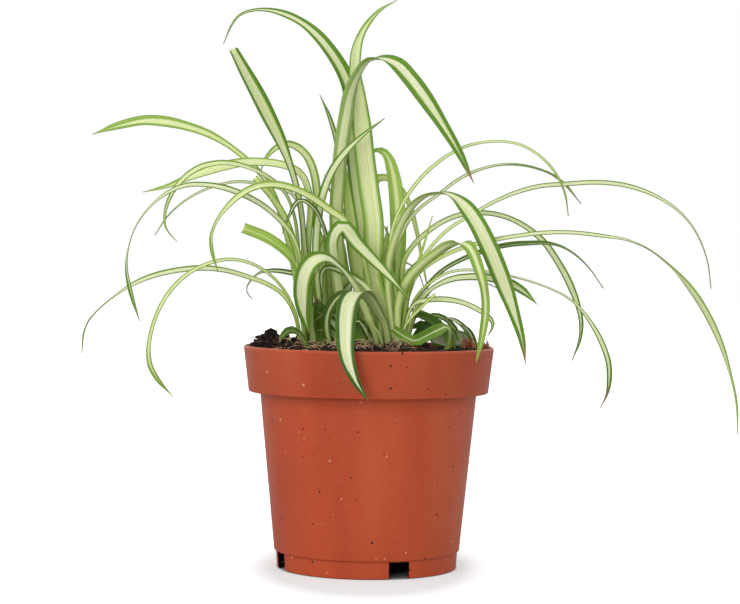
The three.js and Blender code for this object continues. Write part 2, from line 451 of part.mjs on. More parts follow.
function toManifold(geometry) {
  const copy = geometry.clone();
  copy.deleteAttribute("normal");
  copy.deleteAttribute("uv");
  const merged = mergeVertices(copy, 1e-5);
  const mesh = new wasm.Mesh({
    numProp: 3,
    vertProperties: new Float32Array(merged.attributes.position.array),
    triVerts: new Uint32Array(merged.index.array),
  });
  return new wasm.Manifold(mesh);
}

function fromManifold(solid) {
  const mesh = solid.getMesh();
  const geometry = new THREE.BufferGeometry();
  geometry.setAttribute("position", new THREE.Float32BufferAttribute(mesh.vertProperties, 3));
  geometry.setIndex(Array.from(mesh.triVerts));
  return geometry;
}

// Where two blades would touch, both bend aside a little at a time until they pass clear of each other.
// Up in the air they part in depth, so each stays where the viewer sees it. In the crown they also part
// sideways.
const PART_ROUNDS = 260;
const SAMPLE_STEP = 1.25;
const SPREAD = 22;
const LEAST_SHARE = 0.02;
const CROWN_TOP_Z = 122;
const CROWN_FADE = 20;
const LEAST_PUSH = 0.12;
const MOST_PUSH = 0.5;
const PUSH_GAIN = 0.45;
const NEARLY_SAME = 0.05;

// Cells on each axis, leaves, and stations on a leaf, for which there is room in one number used as a key.
const CELL_ROOM = 1024;
const LEAF_ROOM = 64;
const STATION_ROOM = 32;

function samplesOf(plant, number) {
  const frames = bladeFrames(plant.spec, plant.points);
  const inTuft = TUFT_LEAVES.includes(plant.spec);
  const samples = [];
  for (let i = 0; i + 1 < frames.length; i += 1) {
    const a = frames[i];
    const b = frames[i + 1];
    const steps = Math.max(1, Math.ceil(a.point.distanceTo(b.point) / SAMPLE_STEP));
    const rows = Math.max(1, Math.ceil(Math.max(a.width, b.width) / SAMPLE_STEP / 2));
    for (let k = -rows; k <= rows; k += 1) {
      const pa = bladePoint(a, k / rows);
      const pb = bladePoint(b, k / rows);
      for (let s = 0; s < steps; s += 1) {
        const t = s / steps;
        const at = pa.clone().lerp(pb, t);
        samples.push({ number, inTuft, station: i + t, x: at.x, y: at.y, z: at.z });
      }
    }
  }
  return samples;
}

function cellKey(x, y, z) {
  const half = CELL_ROOM / 2;
  return ((x + half) * CELL_ROOM + (y + half)) * CELL_ROOM + (z + half);
}

function closePairs(samples, reach) {
  const cells = new Map();
  const cellOf = (value) => Math.floor(value / reach);
  for (const sample of samples) {
    const key = cellKey(cellOf(sample.x), cellOf(sample.y), cellOf(sample.z));
    if (cells.has(key)) {
      cells.get(key).push(sample);
    } else {
      cells.set(key, [sample]);
    }
  }
  const worst = new Map();
  for (const sample of samples) {
    for (let dx = -1; dx <= 1; dx += 1) {
      for (let dy = -1; dy <= 1; dy += 1) {
        for (let dz = -1; dz <= 1; dz += 1) {
          const key = cellKey(cellOf(sample.x) + dx, cellOf(sample.y) + dy, cellOf(sample.z) + dz);
          for (const other of cells.get(key) ?? []) {
            if (other.number <= sample.number || (sample.inTuft && other.inTuft)) {
              continue;
            }
            const gap = Math.hypot(sample.x - other.x, sample.y - other.y, sample.z - other.z);
            if (gap < reach) {
              const place = Math.floor(sample.station) * STATION_ROOM + Math.floor(other.station);
              const leaves = sample.number * LEAF_ROOM + other.number;
              const name = leaves * STATION_ROOM * STATION_ROOM + place;
              const known = worst.get(name);
              if (!known || gap < known.gap) {
                worst.set(name, { a: sample, b: other, gap });
              }
            }
          }
        }
      }
    }
  }
  return [...worst.values()];
}

function middleAt(plant, station) {
  const low = Math.min(Math.floor(station), plant.points.length - 2);
  return plant.points[low].clone().lerp(plant.points[low + 1], station - low);
}

function pushPlant(plant, moves, station, dx, dy) {
  const centre = middleAt(plant, station);
  plant.points.forEach((point, i) => {
    const away = point.distanceTo(centre) / SPREAD;
    const share = Math.exp(-away * away);
    if (share > LEAST_SHARE) {
      const move = moves[i];
      if (Math.abs(dx * share) > Math.abs(move.x)) {
        move.x = dx * share;
      }
      if (Math.abs(dy * share) > Math.abs(move.y)) {
        move.y = dy * share;
      }
    }
  });
}

function partBlades(plants) {
  for (let round = 0; round < PART_ROUNDS; round += 1) {
    const samples = plants.flatMap((plant, number) => samplesOf(plant, number));
    const pairs = closePairs(samples, BLADE_APART);
    if (pairs.length === 0) {
      break;
    }
    const moves = plants.map((plant) => plant.points.map(() => ({ x: 0, y: 0 })));
    for (const { a, b, gap } of pairs) {
      const middleA = middleAt(plants[a.number], a.station);
      const middleB = middleAt(plants[b.number], b.station);
      const low = Math.max(0, 1 - Math.max(0, a.z - CROWN_TOP_Z) / CROWN_FADE);
      let gx = (middleA.x - middleB.x) * low;
      let gy = middleA.y - middleB.y;
      if (Math.hypot(gx, gy) < NEARLY_SAME) {
        gy = a.number < b.number ? -1 : 1;
      }
      const size = Math.hypot(gx, gy);
      const push = Math.min(MOST_PUSH, LEAST_PUSH + PUSH_GAIN * (BLADE_APART - gap));
      gx *= push / size;
      gy *= push / size;
      pushPlant(plants[a.number], moves[a.number], a.station, gx, gy);
      pushPlant(plants[b.number], moves[b.number], b.station, -gx, -gy);
    }
    plants.forEach((plant, number) => {
      plant.points.forEach((point, i) => {
        const move = moves[number][i];
        // A step in depth also shifts across and up, along the line of sight.
        const reach = move.y / (point.y - VIEWPOINT.y);
        point.x += (point.x - VIEWPOINT.x) * reach + move.x;
        point.z += (point.z - VIEWPOINT.z) * reach * (point.z > POT_HEIGHT ? 1 : 0);
        point.y += move.y;
      });
    });
  }
}

// The pot: one moulded shell with a foot ring, a raised ring channel in its floor and four drain notches.
function potGeometry() {
  const innerDisc = DISC_RADIUS - FLOOR_WALL;
  const channelTop = CHANNEL_Z + FLOOR_WALL;
  const outline = [
    [0, 0],
    [DISC_RADIUS, 0],
    [DISC_RADIUS + CHANNEL_SLOPE, CHANNEL_Z],
    [FOOT_RADIUS - WALL - FOOT_INNER_TAPER, CHANNEL_Z],
    [FOOT_RADIUS - WALL, 0],
    [FOOT_RADIUS, 0],
    [FOOT_TOP_RADIUS, FOOT_LINE_Z - FOOT_LINE_STEP],
    [BODY_FOOT_RADIUS, FOOT_LINE_Z],
    [BODY_TOP_RADIUS, BODY_TOP_Z],
    [COLLAR_FOOT_RADIUS - COLLAR_ROUND, COLLAR_FOOT_Z - COLLAR_ROUND_DROP],
    [COLLAR_FOOT_RADIUS, COLLAR_FOOT_Z],
    [RIM_RADIUS, POT_HEIGHT - LIP_DROP],
    [RIM_RADIUS - LIP_ROUND, POT_HEIGHT - LIP_ROUND_DROP],
    [RIM_RADIUS - LIP_TOP_INSET, POT_HEIGHT],
    [RIM_RADIUS - WALL, POT_HEIGHT - LIP_INNER_DROP],
    [COLLAR_FOOT_RADIUS - WALL, COLLAR_FOOT_Z + WALL],
    [BODY_TOP_RADIUS - WALL, BODY_TOP_Z + WALL],
    [BODY_FOOT_RADIUS - WALL, FOOT_LINE_Z],
    [FOOT_TOP_RADIUS - WALL - FOOT_INNER_TAPER, channelTop],
    [innerDisc + CHANNEL_SLOPE, channelTop],
    [innerDisc, FLOOR_WALL],
    [0, FLOOR_WALL],
  ];
  const lathe = new THREE.LatheGeometry(outline.map(([r, z]) => new THREE.Vector2(r, z)), POT_SIDES);
  lathe.rotateX(Math.PI / 2);
  let solid = toManifold(lathe);
  for (let i = 0; i < NOTCH_COUNT; i += 1) {
    const angle = THREE.MathUtils.degToRad(NOTCH_START_DEG + (360 / NOTCH_COUNT) * i - 90);
    const box = new THREE.BoxGeometry(NOTCH_DEPTH, NOTCH_WIDTH, 2 * NOTCH_HEIGHT);
    box.translate(FOOT_RADIUS, 0, 0);
    box.rotateZ(angle);
    solid = solid.subtract(toManifold(box));
  }
  return fromManifold(solid);
}

function soilHeight(x, y) {
  const edge = smooth((SOIL_FLAT_RADIUS - Math.hypot(x, y)) / SOIL_EDGE_BLEND);
  const heapAway = Math.hypot(x - HEAP.x, y - HEAP.y) / HEAP.reach;
  const heap = HEAP.height * Math.exp((-heapAway * heapAway) / 2);
  const pileAway = Math.hypot((x - PILE.x) / PILE.across, (y - PILE.y) / PILE.depth);
  const pile = PILE.height * Math.exp(-pileAway * pileAway);
  const wave = Math.sin(x * SWELL.x + SWELL.startX) * Math.cos(y * SWELL.y + SWELL.startY);
  const swell = SWELL.height * wave;
  const lumps = LUMPS.height * Math.sin(x * LUMPS.x - y * LUMPS.y);
  return SOIL_EDGE_Z + edge * (heap + pile + swell + lumps);
}

function soilGeometry(slots) {
  const innerDisc = DISC_RADIUS - FLOOR_WALL - CLEAR;
  const floorTop = CHANNEL_Z + FLOOR_WALL + CLEAR;
  const inside = WALL + CLEAR;
  const walls = [
    [innerDisc, FLOOR_WALL + CLEAR],
    [innerDisc + CHANNEL_SLOPE, floorTop],
    [FOOT_TOP_RADIUS - inside - SOIL_FLOOR_GAP, floorTop],
    [BODY_FOOT_RADIUS - inside, FOOT_LINE_Z + CLEAR],
    [BODY_TOP_RADIUS - inside, BODY_TOP_Z + WALL + CLEAR],
    [COLLAR_FOOT_RADIUS - inside, COLLAR_FOOT_Z + WALL + CLEAR],
    [RIM_RADIUS - inside - SOIL_RIM_GAP, SOIL_EDGE_Z],
  ];
  const rings = [...walls];
  const edge = walls[walls.length - 1][0];
  for (let k = 1; k < SOIL_RINGS; k += 1) {
    rings.push([edge * (1 - k / SOIL_RINGS), null]);
  }
  const positions = [0, 0, FLOOR_WALL + CLEAR];
  for (const [radius, z] of rings) {
    for (let i = 0; i < SOIL_SIDES; i += 1) {
      const angle = (2 * Math.PI * i) / SOIL_SIDES;
      const x = radius * Math.cos(angle);
      const y = radius * Math.sin(angle);
      positions.push(x, y, z ?? soilHeight(x, y));
    }
  }
  positions.push(0, 0, soilHeight(0, 0));
  const index = [];
  const place = (ring, i) => 1 + ring * SOIL_SIDES + (i % SOIL_SIDES);
  const last = rings.length - 1;
  for (let i = 0; i < SOIL_SIDES; i += 1) {
    index.push(0, place(0, i + 1), place(0, i));
    for (let ring = 0; ring < last; ring += 1) {
      index.push(place(ring, i), place(ring, i + 1), place(ring + 1, i));
      index.push(place(ring, i + 1), place(ring + 1, i + 1), place(ring + 1, i));
    }
    index.push(place(last, i), place(last, i + 1), positions.length / 3 - 1);
  }
  const geometry = new THREE.BufferGeometry();
  geometry.setAttribute("position", new THREE.Float32BufferAttribute(positions, 3));
  geometry.setIndex(index);
  let solid = toManifold(geometry);
  for (const slot of slots) {
    solid = solid.subtract(slot);
  }
  return fromManifold(solid);
}

// The stretches of a leaf that stand or lie in the soil, grown by the clearance, to be cut from it.
const SLOT_TOP_Z = 112;

function slotsOf(frames) {
  const inPot = frames.map(({ point }) => point.z < SLOT_TOP_Z && Math.hypot(point.x, point.y) < RIM_RADIUS);
  const slots = [];
  let start = -1;
  for (let i = 0; i <= frames.length; i += 1) {
    if (inPot[i] && start < 0) {
      start = i;
    }
    if (!inPot[i] && start >= 0) {
      const stretch = frames.slice(Math.max(0, start - 1), Math.min(frames.length, i + 1));
      const grown = stretch.map((frame) => ({ ...frame, point: frame.point.clone() }));
      if (start === 0) {
        grown[0].point.z -= SLOT_CLEAR;
      }
      if (i === frames.length) {
        const end = grown[grown.length - 1];
        const before = grown[grown.length - 2];
        end.point.add(end.point.clone().sub(before.point).setLength(SLOT_CLEAR));
      }
      slots.push(toManifold(bladeGeometry(grown, SLOT_CLEAR)));
      start = -1;
    }
  }
  return slots;
}

function tuftGeometry(plants) {
  const { x, y, z, radius, topRadius, height, sides } = TUFT_CROWN;
  const crown = new THREE.CylinderGeometry(topRadius, radius, height, sides);
  crown.rotateX(Math.PI / 2);
  crown.translate(x, y, z);
  let solid = toManifold(crown);
  for (const plant of plants) {
    solid = solid.add(toManifold(bladeGeometry(bladeFrames(plant.spec, plant.points))));
  }
  return fromManifold(solid);
}

function tuftSlot() {
  const radius = TUFT_CROWN.radius + CLEAR;
  const tall = 2 * TUFT_CROWN.height;
  const foot = TUFT_CROWN.z - TUFT_CROWN.height / 2 - CLEAR;
  const hole = new THREE.CylinderGeometry(radius, radius, tall, TUFT_CROWN.sides);
  hole.rotateX(Math.PI / 2);
  hole.translate(TUFT_CROWN.x, TUFT_CROWN.y, foot + tall / 2);
  return toManifold(hole);
}

function addNode(group, name, geometry, look) {
  const mesh = new THREE.Mesh(geometry, look);
  geometry.computeVertexNormals();
  mesh.name = name;
  group.add(mesh);
}

function buildPlant() {
  const group = new THREE.Group();
  group.name = "potted_spider_plant";
  const clumps = [RIGHT_LEAVES, MIDDLE_LEAVES, INNER_LEAVES, LEFT_LEAVES, BACK_LEAVES, TUFT_LEAVES];
  const specs = clumps.flat();
  const plants = specs.map((spec) => ({ spec, points: stationsOf(spec) }));
  partBlades(plants);
  const looks = new Map([
    [LEAF_GREEN, material("leaf_green", LEAF_GREEN, 0.5)],
    [PALE_GREEN, material("leaf_pale", PALE_GREEN, 0.5)],
  ]);
  const tuft = plants.filter(({ spec }) => TUFT_LEAVES.includes(spec));
  const slots = [tuftSlot()];
  for (const plant of plants) {
    const frames = bladeFrames(plant.spec, plant.points);
    slots.push(...slotsOf(frames));
    if (!tuft.includes(plant)) {
      addNode(group, plant.spec.node, bladeGeometry(frames), looks.get(plant.spec.color));
    }
  }
  addNode(group, "dry_tuft", tuftGeometry(tuft), material("dry_brown", DRY_BROWN, 0.8));
  addNode(group, "soil", soilGeometry(slots), material("soil_peat", SOIL_BROWN, 0.95));
  addNode(group, "pot", potGeometry(), material("pot_terracotta", POT_TERRACOTTA, 0.5));
  return group;
}

export default buildPlant();
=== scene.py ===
"""Looks of the potted spider plant, over its CAD frame. Metres, +Z up, +X to the viewer's right, +Y away."""

import json
import logging
import math
from dataclasses import dataclass, field
from enum import Enum
from typing import Any

import bpy
import numpy as np
from mathutils.bvhtree import BVHTree
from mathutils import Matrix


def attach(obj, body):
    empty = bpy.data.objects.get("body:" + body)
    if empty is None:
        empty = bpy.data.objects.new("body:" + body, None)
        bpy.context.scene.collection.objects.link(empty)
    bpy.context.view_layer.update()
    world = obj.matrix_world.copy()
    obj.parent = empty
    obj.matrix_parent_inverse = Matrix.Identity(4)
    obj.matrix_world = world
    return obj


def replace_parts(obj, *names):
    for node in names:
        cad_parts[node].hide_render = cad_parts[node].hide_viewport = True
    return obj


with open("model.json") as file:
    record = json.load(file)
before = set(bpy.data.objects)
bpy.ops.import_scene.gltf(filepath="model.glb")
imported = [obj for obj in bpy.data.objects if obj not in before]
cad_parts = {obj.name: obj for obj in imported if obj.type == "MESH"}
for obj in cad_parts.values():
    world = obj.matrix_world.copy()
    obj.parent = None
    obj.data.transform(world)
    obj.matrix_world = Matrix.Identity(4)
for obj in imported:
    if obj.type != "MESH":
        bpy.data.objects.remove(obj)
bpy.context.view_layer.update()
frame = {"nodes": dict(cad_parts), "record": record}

MM = 0.001
log = logging.getLogger("spider_plant")
Array = np.ndarray
Rng = np.random.Generator
Material = bpy.types.Material
Pair = tuple[float, float]
Place = tuple[float, float, float]
Rgba = tuple[float, float, float, float]


def linear(hex_colour: str) -> Rgba:
    """Turns an sRGB hex value into the linear colour that a shader socket takes.

    Args:
        hex_colour: six hex digits after a hash, such as "#5C8F2E".

    Returns:
        Red, green, blue and alpha, linear.
    """
    parts = [int(hex_colour[i : i + 2], 16) / 255 for i in (1, 3, 5)]
    red, green, blue = [c / 12.92 if c <= 0.04045 else ((c + 0.055) / 1.055) ** 2.4 for c in parts]
    return red, green, blue, 1.0


def grey(level: float) -> Rgba:
    """A plain grey of that level."""
    return level, level, level, 1.0


class Shading:
    """A material with one Principled shader, and short calls for the nodes that feed it."""

    def __init__(self, name: str, **constants: Any) -> None:
        """Makes the material.

        Args:
            name: the finish's plain name.
            constants: values for the shader's own inputs, with underscores for spaces.
        """
        self.material = bpy.data.materials.new(name)
        self.material.use_nodes = True
        self.tree = self.material.node_tree
        self.shader = self.tree.nodes["Principled BSDF"]
        for key, value in constants.items():
            self.shader.inputs[key.replace("_", " ")].default_value = value

    def feed(self, **sockets: Any) -> None:
        """Links sockets to the shader's own inputs, with underscores for spaces."""
        for key, socket in sockets.items():
            self.tree.links.new(socket, self.shader.inputs[key.replace("_", " ")])

    def add(self, kind: str, inputs: dict[Any, Any] | None = None, **settings: Any) -> Any:
        """Adds a node.

        Args:
            kind: the node type's name, without the "ShaderNode" in front.
            inputs: input name or number to the socket that feeds it, or to a constant or hex colour.
            settings: properties of the node itself.

        Returns:
            The new node.
        """
        node = self.tree.nodes.new("ShaderNode" + kind)
        for name, value in settings.items():
            setattr(node, name, value)
        for name, value in (inputs or {}).items():
            if isinstance(value, bpy.types.NodeSocket):
                self.tree.links.new(value, node.inputs[name])
            else:
                node.inputs[name].default_value = linear(value) if isinstance(value, str) else value
        return node

    def place(self) -> Any:
        """The point's place on the object, in metres."""
        return self.add("TexCoord").outputs["Object"]

    def attribute(self, name: str) -> Any:
        """The number that the mesh carries under that name."""
        return self.add("Attribute", attribute_name=name).outputs["Fac"]

    def scaled(self, vector: Any, scale: Place) -> Any:
        """A vector times a scale for each axis."""
        return self.add("Mapping", {"Vector": vector, "Scale": scale}).outputs[0]

    def length(self, vector: Any) -> Any:
        """A vector's length."""
        return self.add("VectorMath", {0: vector}, operation="LENGTH").outputs["Value"]

    def math(self, operation: str, *values: Any) -> Any:
        """The result of that operation on up to three sockets or numbers."""
        return self.add("Math", dict(enumerate(values)), operation=operation).outputs[0]

    def noise(self, vector: Any, scale: float, detail: float, roughness: float = 0.5) -> Any:
        """Noise from 0 to 1, with scale cells to a metre of the vector."""
        inputs = {"Vector": vector, "Scale": scale, "Detail": detail, "Roughness": roughness}
        return self.add("TexNoise", inputs).outputs[0]

    def mapped(self, value: Any, low: Any, high: Any, to: Pair = (0.0, 1.0), kind: str = "LINEAR") -> Any:
        """Maps low to high onto a range, clamped."""
        inputs = {"Value": value, "From Min": low, "From Max": high, "To Min": to[0], "To Max": to[1]}
        return self.add("MapRange", inputs, interpolation_type=kind).outputs[0]

    def mix(self, factor: Any, first: Any, second: Any, blend: str = "MIX") -> Any:
        """Mixes two colours, where factor is the second one's share."""
        inputs = {"Factor": factor, 6: first, 7: second}
        return self.add("Mix", inputs, data_type="RGBA", blend_type=blend).outputs[2]

    def ramp(self, factor: Any, *stops: tuple[float, float | str]) -> Any:
        """Adds a colour ramp.

        Args:
            factor: the socket that drives it.
            stops: place and hex colour, or place and level of grey, in order.

        Returns:
            The ramp's colour socket.
        """
        node = self.add("ValToRGB", {"Fac": factor})
        elements = node.color_ramp.elements
        while len(elements) < len(stops):
            elements.new(0.5)
        for element, (place, colour) in zip(elements, stops):
            element.position = place
            element.color = linear(colour) if isinstance(colour, str) else grey(colour)
        return node.outputs["Color"]

    def bump(self, height: Any, strength: float, distance: float) -> None:
        """Raises the surface by a height, with its full depth in metres."""
        inputs = {"Height": height, "Strength": strength, "Distance": distance}
        self.feed(Normal=self.add("Bump", inputs).outputs[0])


def new_mesh(name: str, points: Any, faces: Any) -> bpy.types.Mesh:
    """Makes a mesh.

    Args:
        name: the mesh's name.
        points: n by 3 places, in metres.
        faces: point numbers of each face, as an array or as lists.

    Returns:
        The new mesh.
    """
    mesh = bpy.data.meshes.new(name)
    rows = faces.tolist() if isinstance(faces, np.ndarray) else faces
    mesh.from_pydata(np.asarray(points, float).tolist(), [], rows)
    return mesh


def new_object(name: str, data: Any) -> bpy.types.Object:
    """Makes an object of a mesh, light or camera and links it to the scene.

    Args:
        name: the object's name.
        data: what it shows.

    Returns:
        The new object.
    """
    thing = bpy.data.objects.new(name, data)
    bpy.context.scene.collection.objects.link(thing)
    return thing


def make_piece(name: str, points: Array, faces: Array, material: Material,
               attributes: dict[str, Array], smooth: bool = True) -> bpy.types.Object:
    """Makes one piece of the object from whole arrays and lets it ride on the plant's body.

    Args:
        name: the piece's name.
        points: n by 3 places, in metres.
        faces: m by 3 or m by 4 point numbers, facing outwards.
        material: its finish.
        attributes: one number for each point, by name.
        smooth: whether the faces are shaded smooth.

    Returns:
        The new object.
    """
    mesh = new_mesh(name, points, faces)
    for key, values in attributes.items():
        layer = mesh.attributes.new(key, "FLOAT", "POINT")
        layer.data.foreach_set("value", np.ascontiguousarray(values, dtype=np.float32))
    mesh.polygons.foreach_set("use_smooth", np.full(len(mesh.polygons), smooth))
    mesh.materials.append(material)
    mesh.validate()
    piece = new_object(name, mesh)
    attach(piece, "root")
    log.info("%s: %d faces", piece.name, len(mesh.polygons))
    return piece


def make_copies(name: str, points: Array, faces: Array, tone: Array, material: Material,
                smooth: bool = True) -> None:
    """Makes one piece of many copies of a shape, each with points and a shade of its own.

    Args:
        name: the piece's name.
        points: copies by any grid of points by 3, in metres.
        faces: point numbers of one copy's faces.
        tone: shade of each copy, 0 dark to 1 light.
        material: its finish.
        smooth: whether the faces are shaded smooth.
    """
    count, corners = len(points), points[0].size // 3
    every = (faces[None] + corners * np.arange(count)[:, None, None]).reshape(-1, faces.shape[1])
    make_piece(name, points.reshape(-1, 3), every, material, {"tone": np.repeat(tone, corners)}, smooth)


def grid_faces(rows: int, columns: int) -> Array:
    """Quads of a tube of rows by columns points, where the last column joins the first.

    Args:
        rows: number of rows.
        columns: points in a row.

    Returns:
        Faces as an n by 4 array.
    """
    i, j = np.meshgrid(np.arange(rows - 1), np.arange(columns), indexing="ij")
    k = (j + 1) % columns
    corners = [i * columns + j, i * columns + k, (i + 1) * columns + k, (i + 1) * columns + j]
    return np.stack(corners, -1).reshape(-1, 4)


def smooth_step(low: float, high: float, value: Array) -> Array:
    """Rises from 0 at low to 1 at high as 3t squared less 2t cubed."""
    t = np.clip((value - low) / (high - low), 0, 1)
    return t * t * (3 - 2 * t)


def unit(vectors: Array) -> Array:
    """The vectors along the last axis, at length 1."""
    return vectors / np.linalg.norm(vectors, axis=-1, keepdims=True)


def distance_along(points: Array) -> Array:
    """Distance from the first point to each, from point to point."""
    return np.concatenate([[0], np.cumsum(np.linalg.norm(np.diff(points, axis=0), axis=1))])


def curve_through(points: Array, places: Array, wanted: Array) -> Array:
    """Cubic Hermite curve through points, with finite-difference slopes at each.

    Args:
        points: n by 3 knots.
        places: the knots' places along the curve, rising.
        wanted: places to read.

    Returns:
        The points at the wanted places.
    """
    slopes = np.gradient(points, places, axis=0)
    k = np.clip(np.searchsorted(places, wanted, side="right") - 1, 0, len(places) - 2)
    span = (places[k + 1] - places[k])[:, None]
    t = ((wanted - places[k])[:, None]) / span
    return ((2 * t**3 - 3 * t**2 + 1) * points[k] + (t**3 - 2 * t**2 + t) * span * slopes[k]
            + (3 * t**2 - 2 * t**3) * points[k + 1] + (t**3 - t**2) * span * slopes[k + 1])


class Tone(Enum):
    """Which kind of leaf a blade is, with the number that the leaf finish reads for it."""

    GREEN = 0.3
    SOFT = 0.66
    PALE = 0.9
    # Painted shade: a DARK leaf is painted in deep greens, for a leaf in the clump's shade.
    DARK = 0.0


@dataclass(frozen=True)
class LeafFinish:
    """Living leaf of a variegated spider plant: a waxy skin, green margins and a cream band down the middle.

    The parallel veins give the eye fine lengthwise lines, and light passes a little way into the blade.
    """

    name: str = "variegated_leaf"
    # Painted shade along the blade's edges.
    edge: str = "#496A24"
    margin: str = "#5F861C"
    light_margin: str = "#9DBF3E"
    young: str = "#A6C25A"
    # Painted shade: deep darkens the margins of DARK leaves.
    deep: str = "#36540E"
    cream: str = "#DFE0C4"
    low_cream: str = "#E0EAA4"
    stripe: str = "#BDD076"
    # Painted light: the blade's paler back, painted lighter still for light that shines through it.
    under: str = "#D0DE9C"
    base: str = "#DDE8B0"
    dry: str = "#7D5238"
    dry_light: str = "#A98358"
    # Noise cells: across half the blade, to a metre along it, and from one tone to the next.
    veins: Place = (13.0, 9.0, 3.0)
    patches: Place = (3.6, 5.0, 3.0)
    # All in half widths of the blade: how far the band's border wanders, how soft it is, and how much further
    # into the band it starts on a young leaf.
    wander: float = 0.3
    border: float = 0.1
    young_border: float = 0.16
    relief_m: float = 0.0003

    def make(self) -> Material:
        """Builds the finish from the blade's own attributes.

        Returns:
            The material.
        """
        tree = Shading(self.name, Roughness=0.46, IOR=1.42, Specular_IOR_Level=0.35, Subsurface_Weight=0.3,
                       Subsurface_Radius=(0.7, 1.0, 0.3), Subsurface_Scale=0.0012)
        names = ("across", "run", "far", "cream", "tone", "pale", "under", "dry")
        across, run, far, cream, tone, pale, under, dry = [tree.attribute(name) for name in names]
        side = tree.math("ABSOLUTE", across)
        # Lines run along the blade: fast across it, slow along it (run is in metres).
        lines = tree.add("CombineXYZ", {"X": across, "Y": run, "Z": tone}).outputs[0]
        vein = tree.noise(tree.scaled(lines, self.veins), 1.0, 3.0, 0.6)
        drift = tree.noise(tree.scaled(lines, self.patches), 1.0, 2.0)
        reach = tree.math("MULTIPLY_ADD", tree.math("ADD", drift, -0.5), self.wander, side)
        # Young leaves have the softer margins.
        youth = tree.mapped(tone, 0.5, 1.0)
        inner = tree.math("MULTIPLY_ADD", youth, -self.young_border, cream)
        inner = tree.math("SUBTRACT", inner, self.border)
        outer = tree.math("ADD", cream, self.border)
        green = tree.mapped(reach, inner, outer, kind="SMOOTHSTEP")
        margin = tree.mix(youth, tree.mix(far, self.light_margin, self.margin), self.young)
        # Painted shade: DARK leaves get deep green margins.
        margin = tree.mix(tree.mapped(tone, 0.25, 0.0), margin, self.deep)
        # Painted shade: the margin darkens towards the blade's edges.
        margin = tree.mix(tree.ramp(side, (0.8, 0.0), (1.0, 0.5)), margin, self.edge)
        streak = tree.ramp(vein, (0.36, 0.76), (0.5, 1.0), (0.64, 1.14))
        margin = tree.mix(1.0, margin, streak, "MULTIPLY")
        # The cream is yellower low down and on young leaves.
        white = tree.math("MULTIPLY", far, tree.math("SUBTRACT", 1.0, youth))
        centre = tree.mix(white, self.low_cream, self.cream)
        centre = tree.mix(tree.ramp(vein, (0.38, 0.0), (0.56, 1.0)), self.stripe, centre)
        colour = tree.mix(green, centre, margin)
        # The paler back, partly painted light for light that shines through the blade.
        colour = tree.mix(under, colour, self.under)
        colour = tree.mix(pale, colour, self.base)
        colour = tree.mix(dry, colour, tree.ramp(drift, (0.3, self.dry), (0.7, self.dry_light)))
        tree.feed(Base_Color=colour)
        tree.bump(vein, 0.12, self.relief_m)
        return tree.material


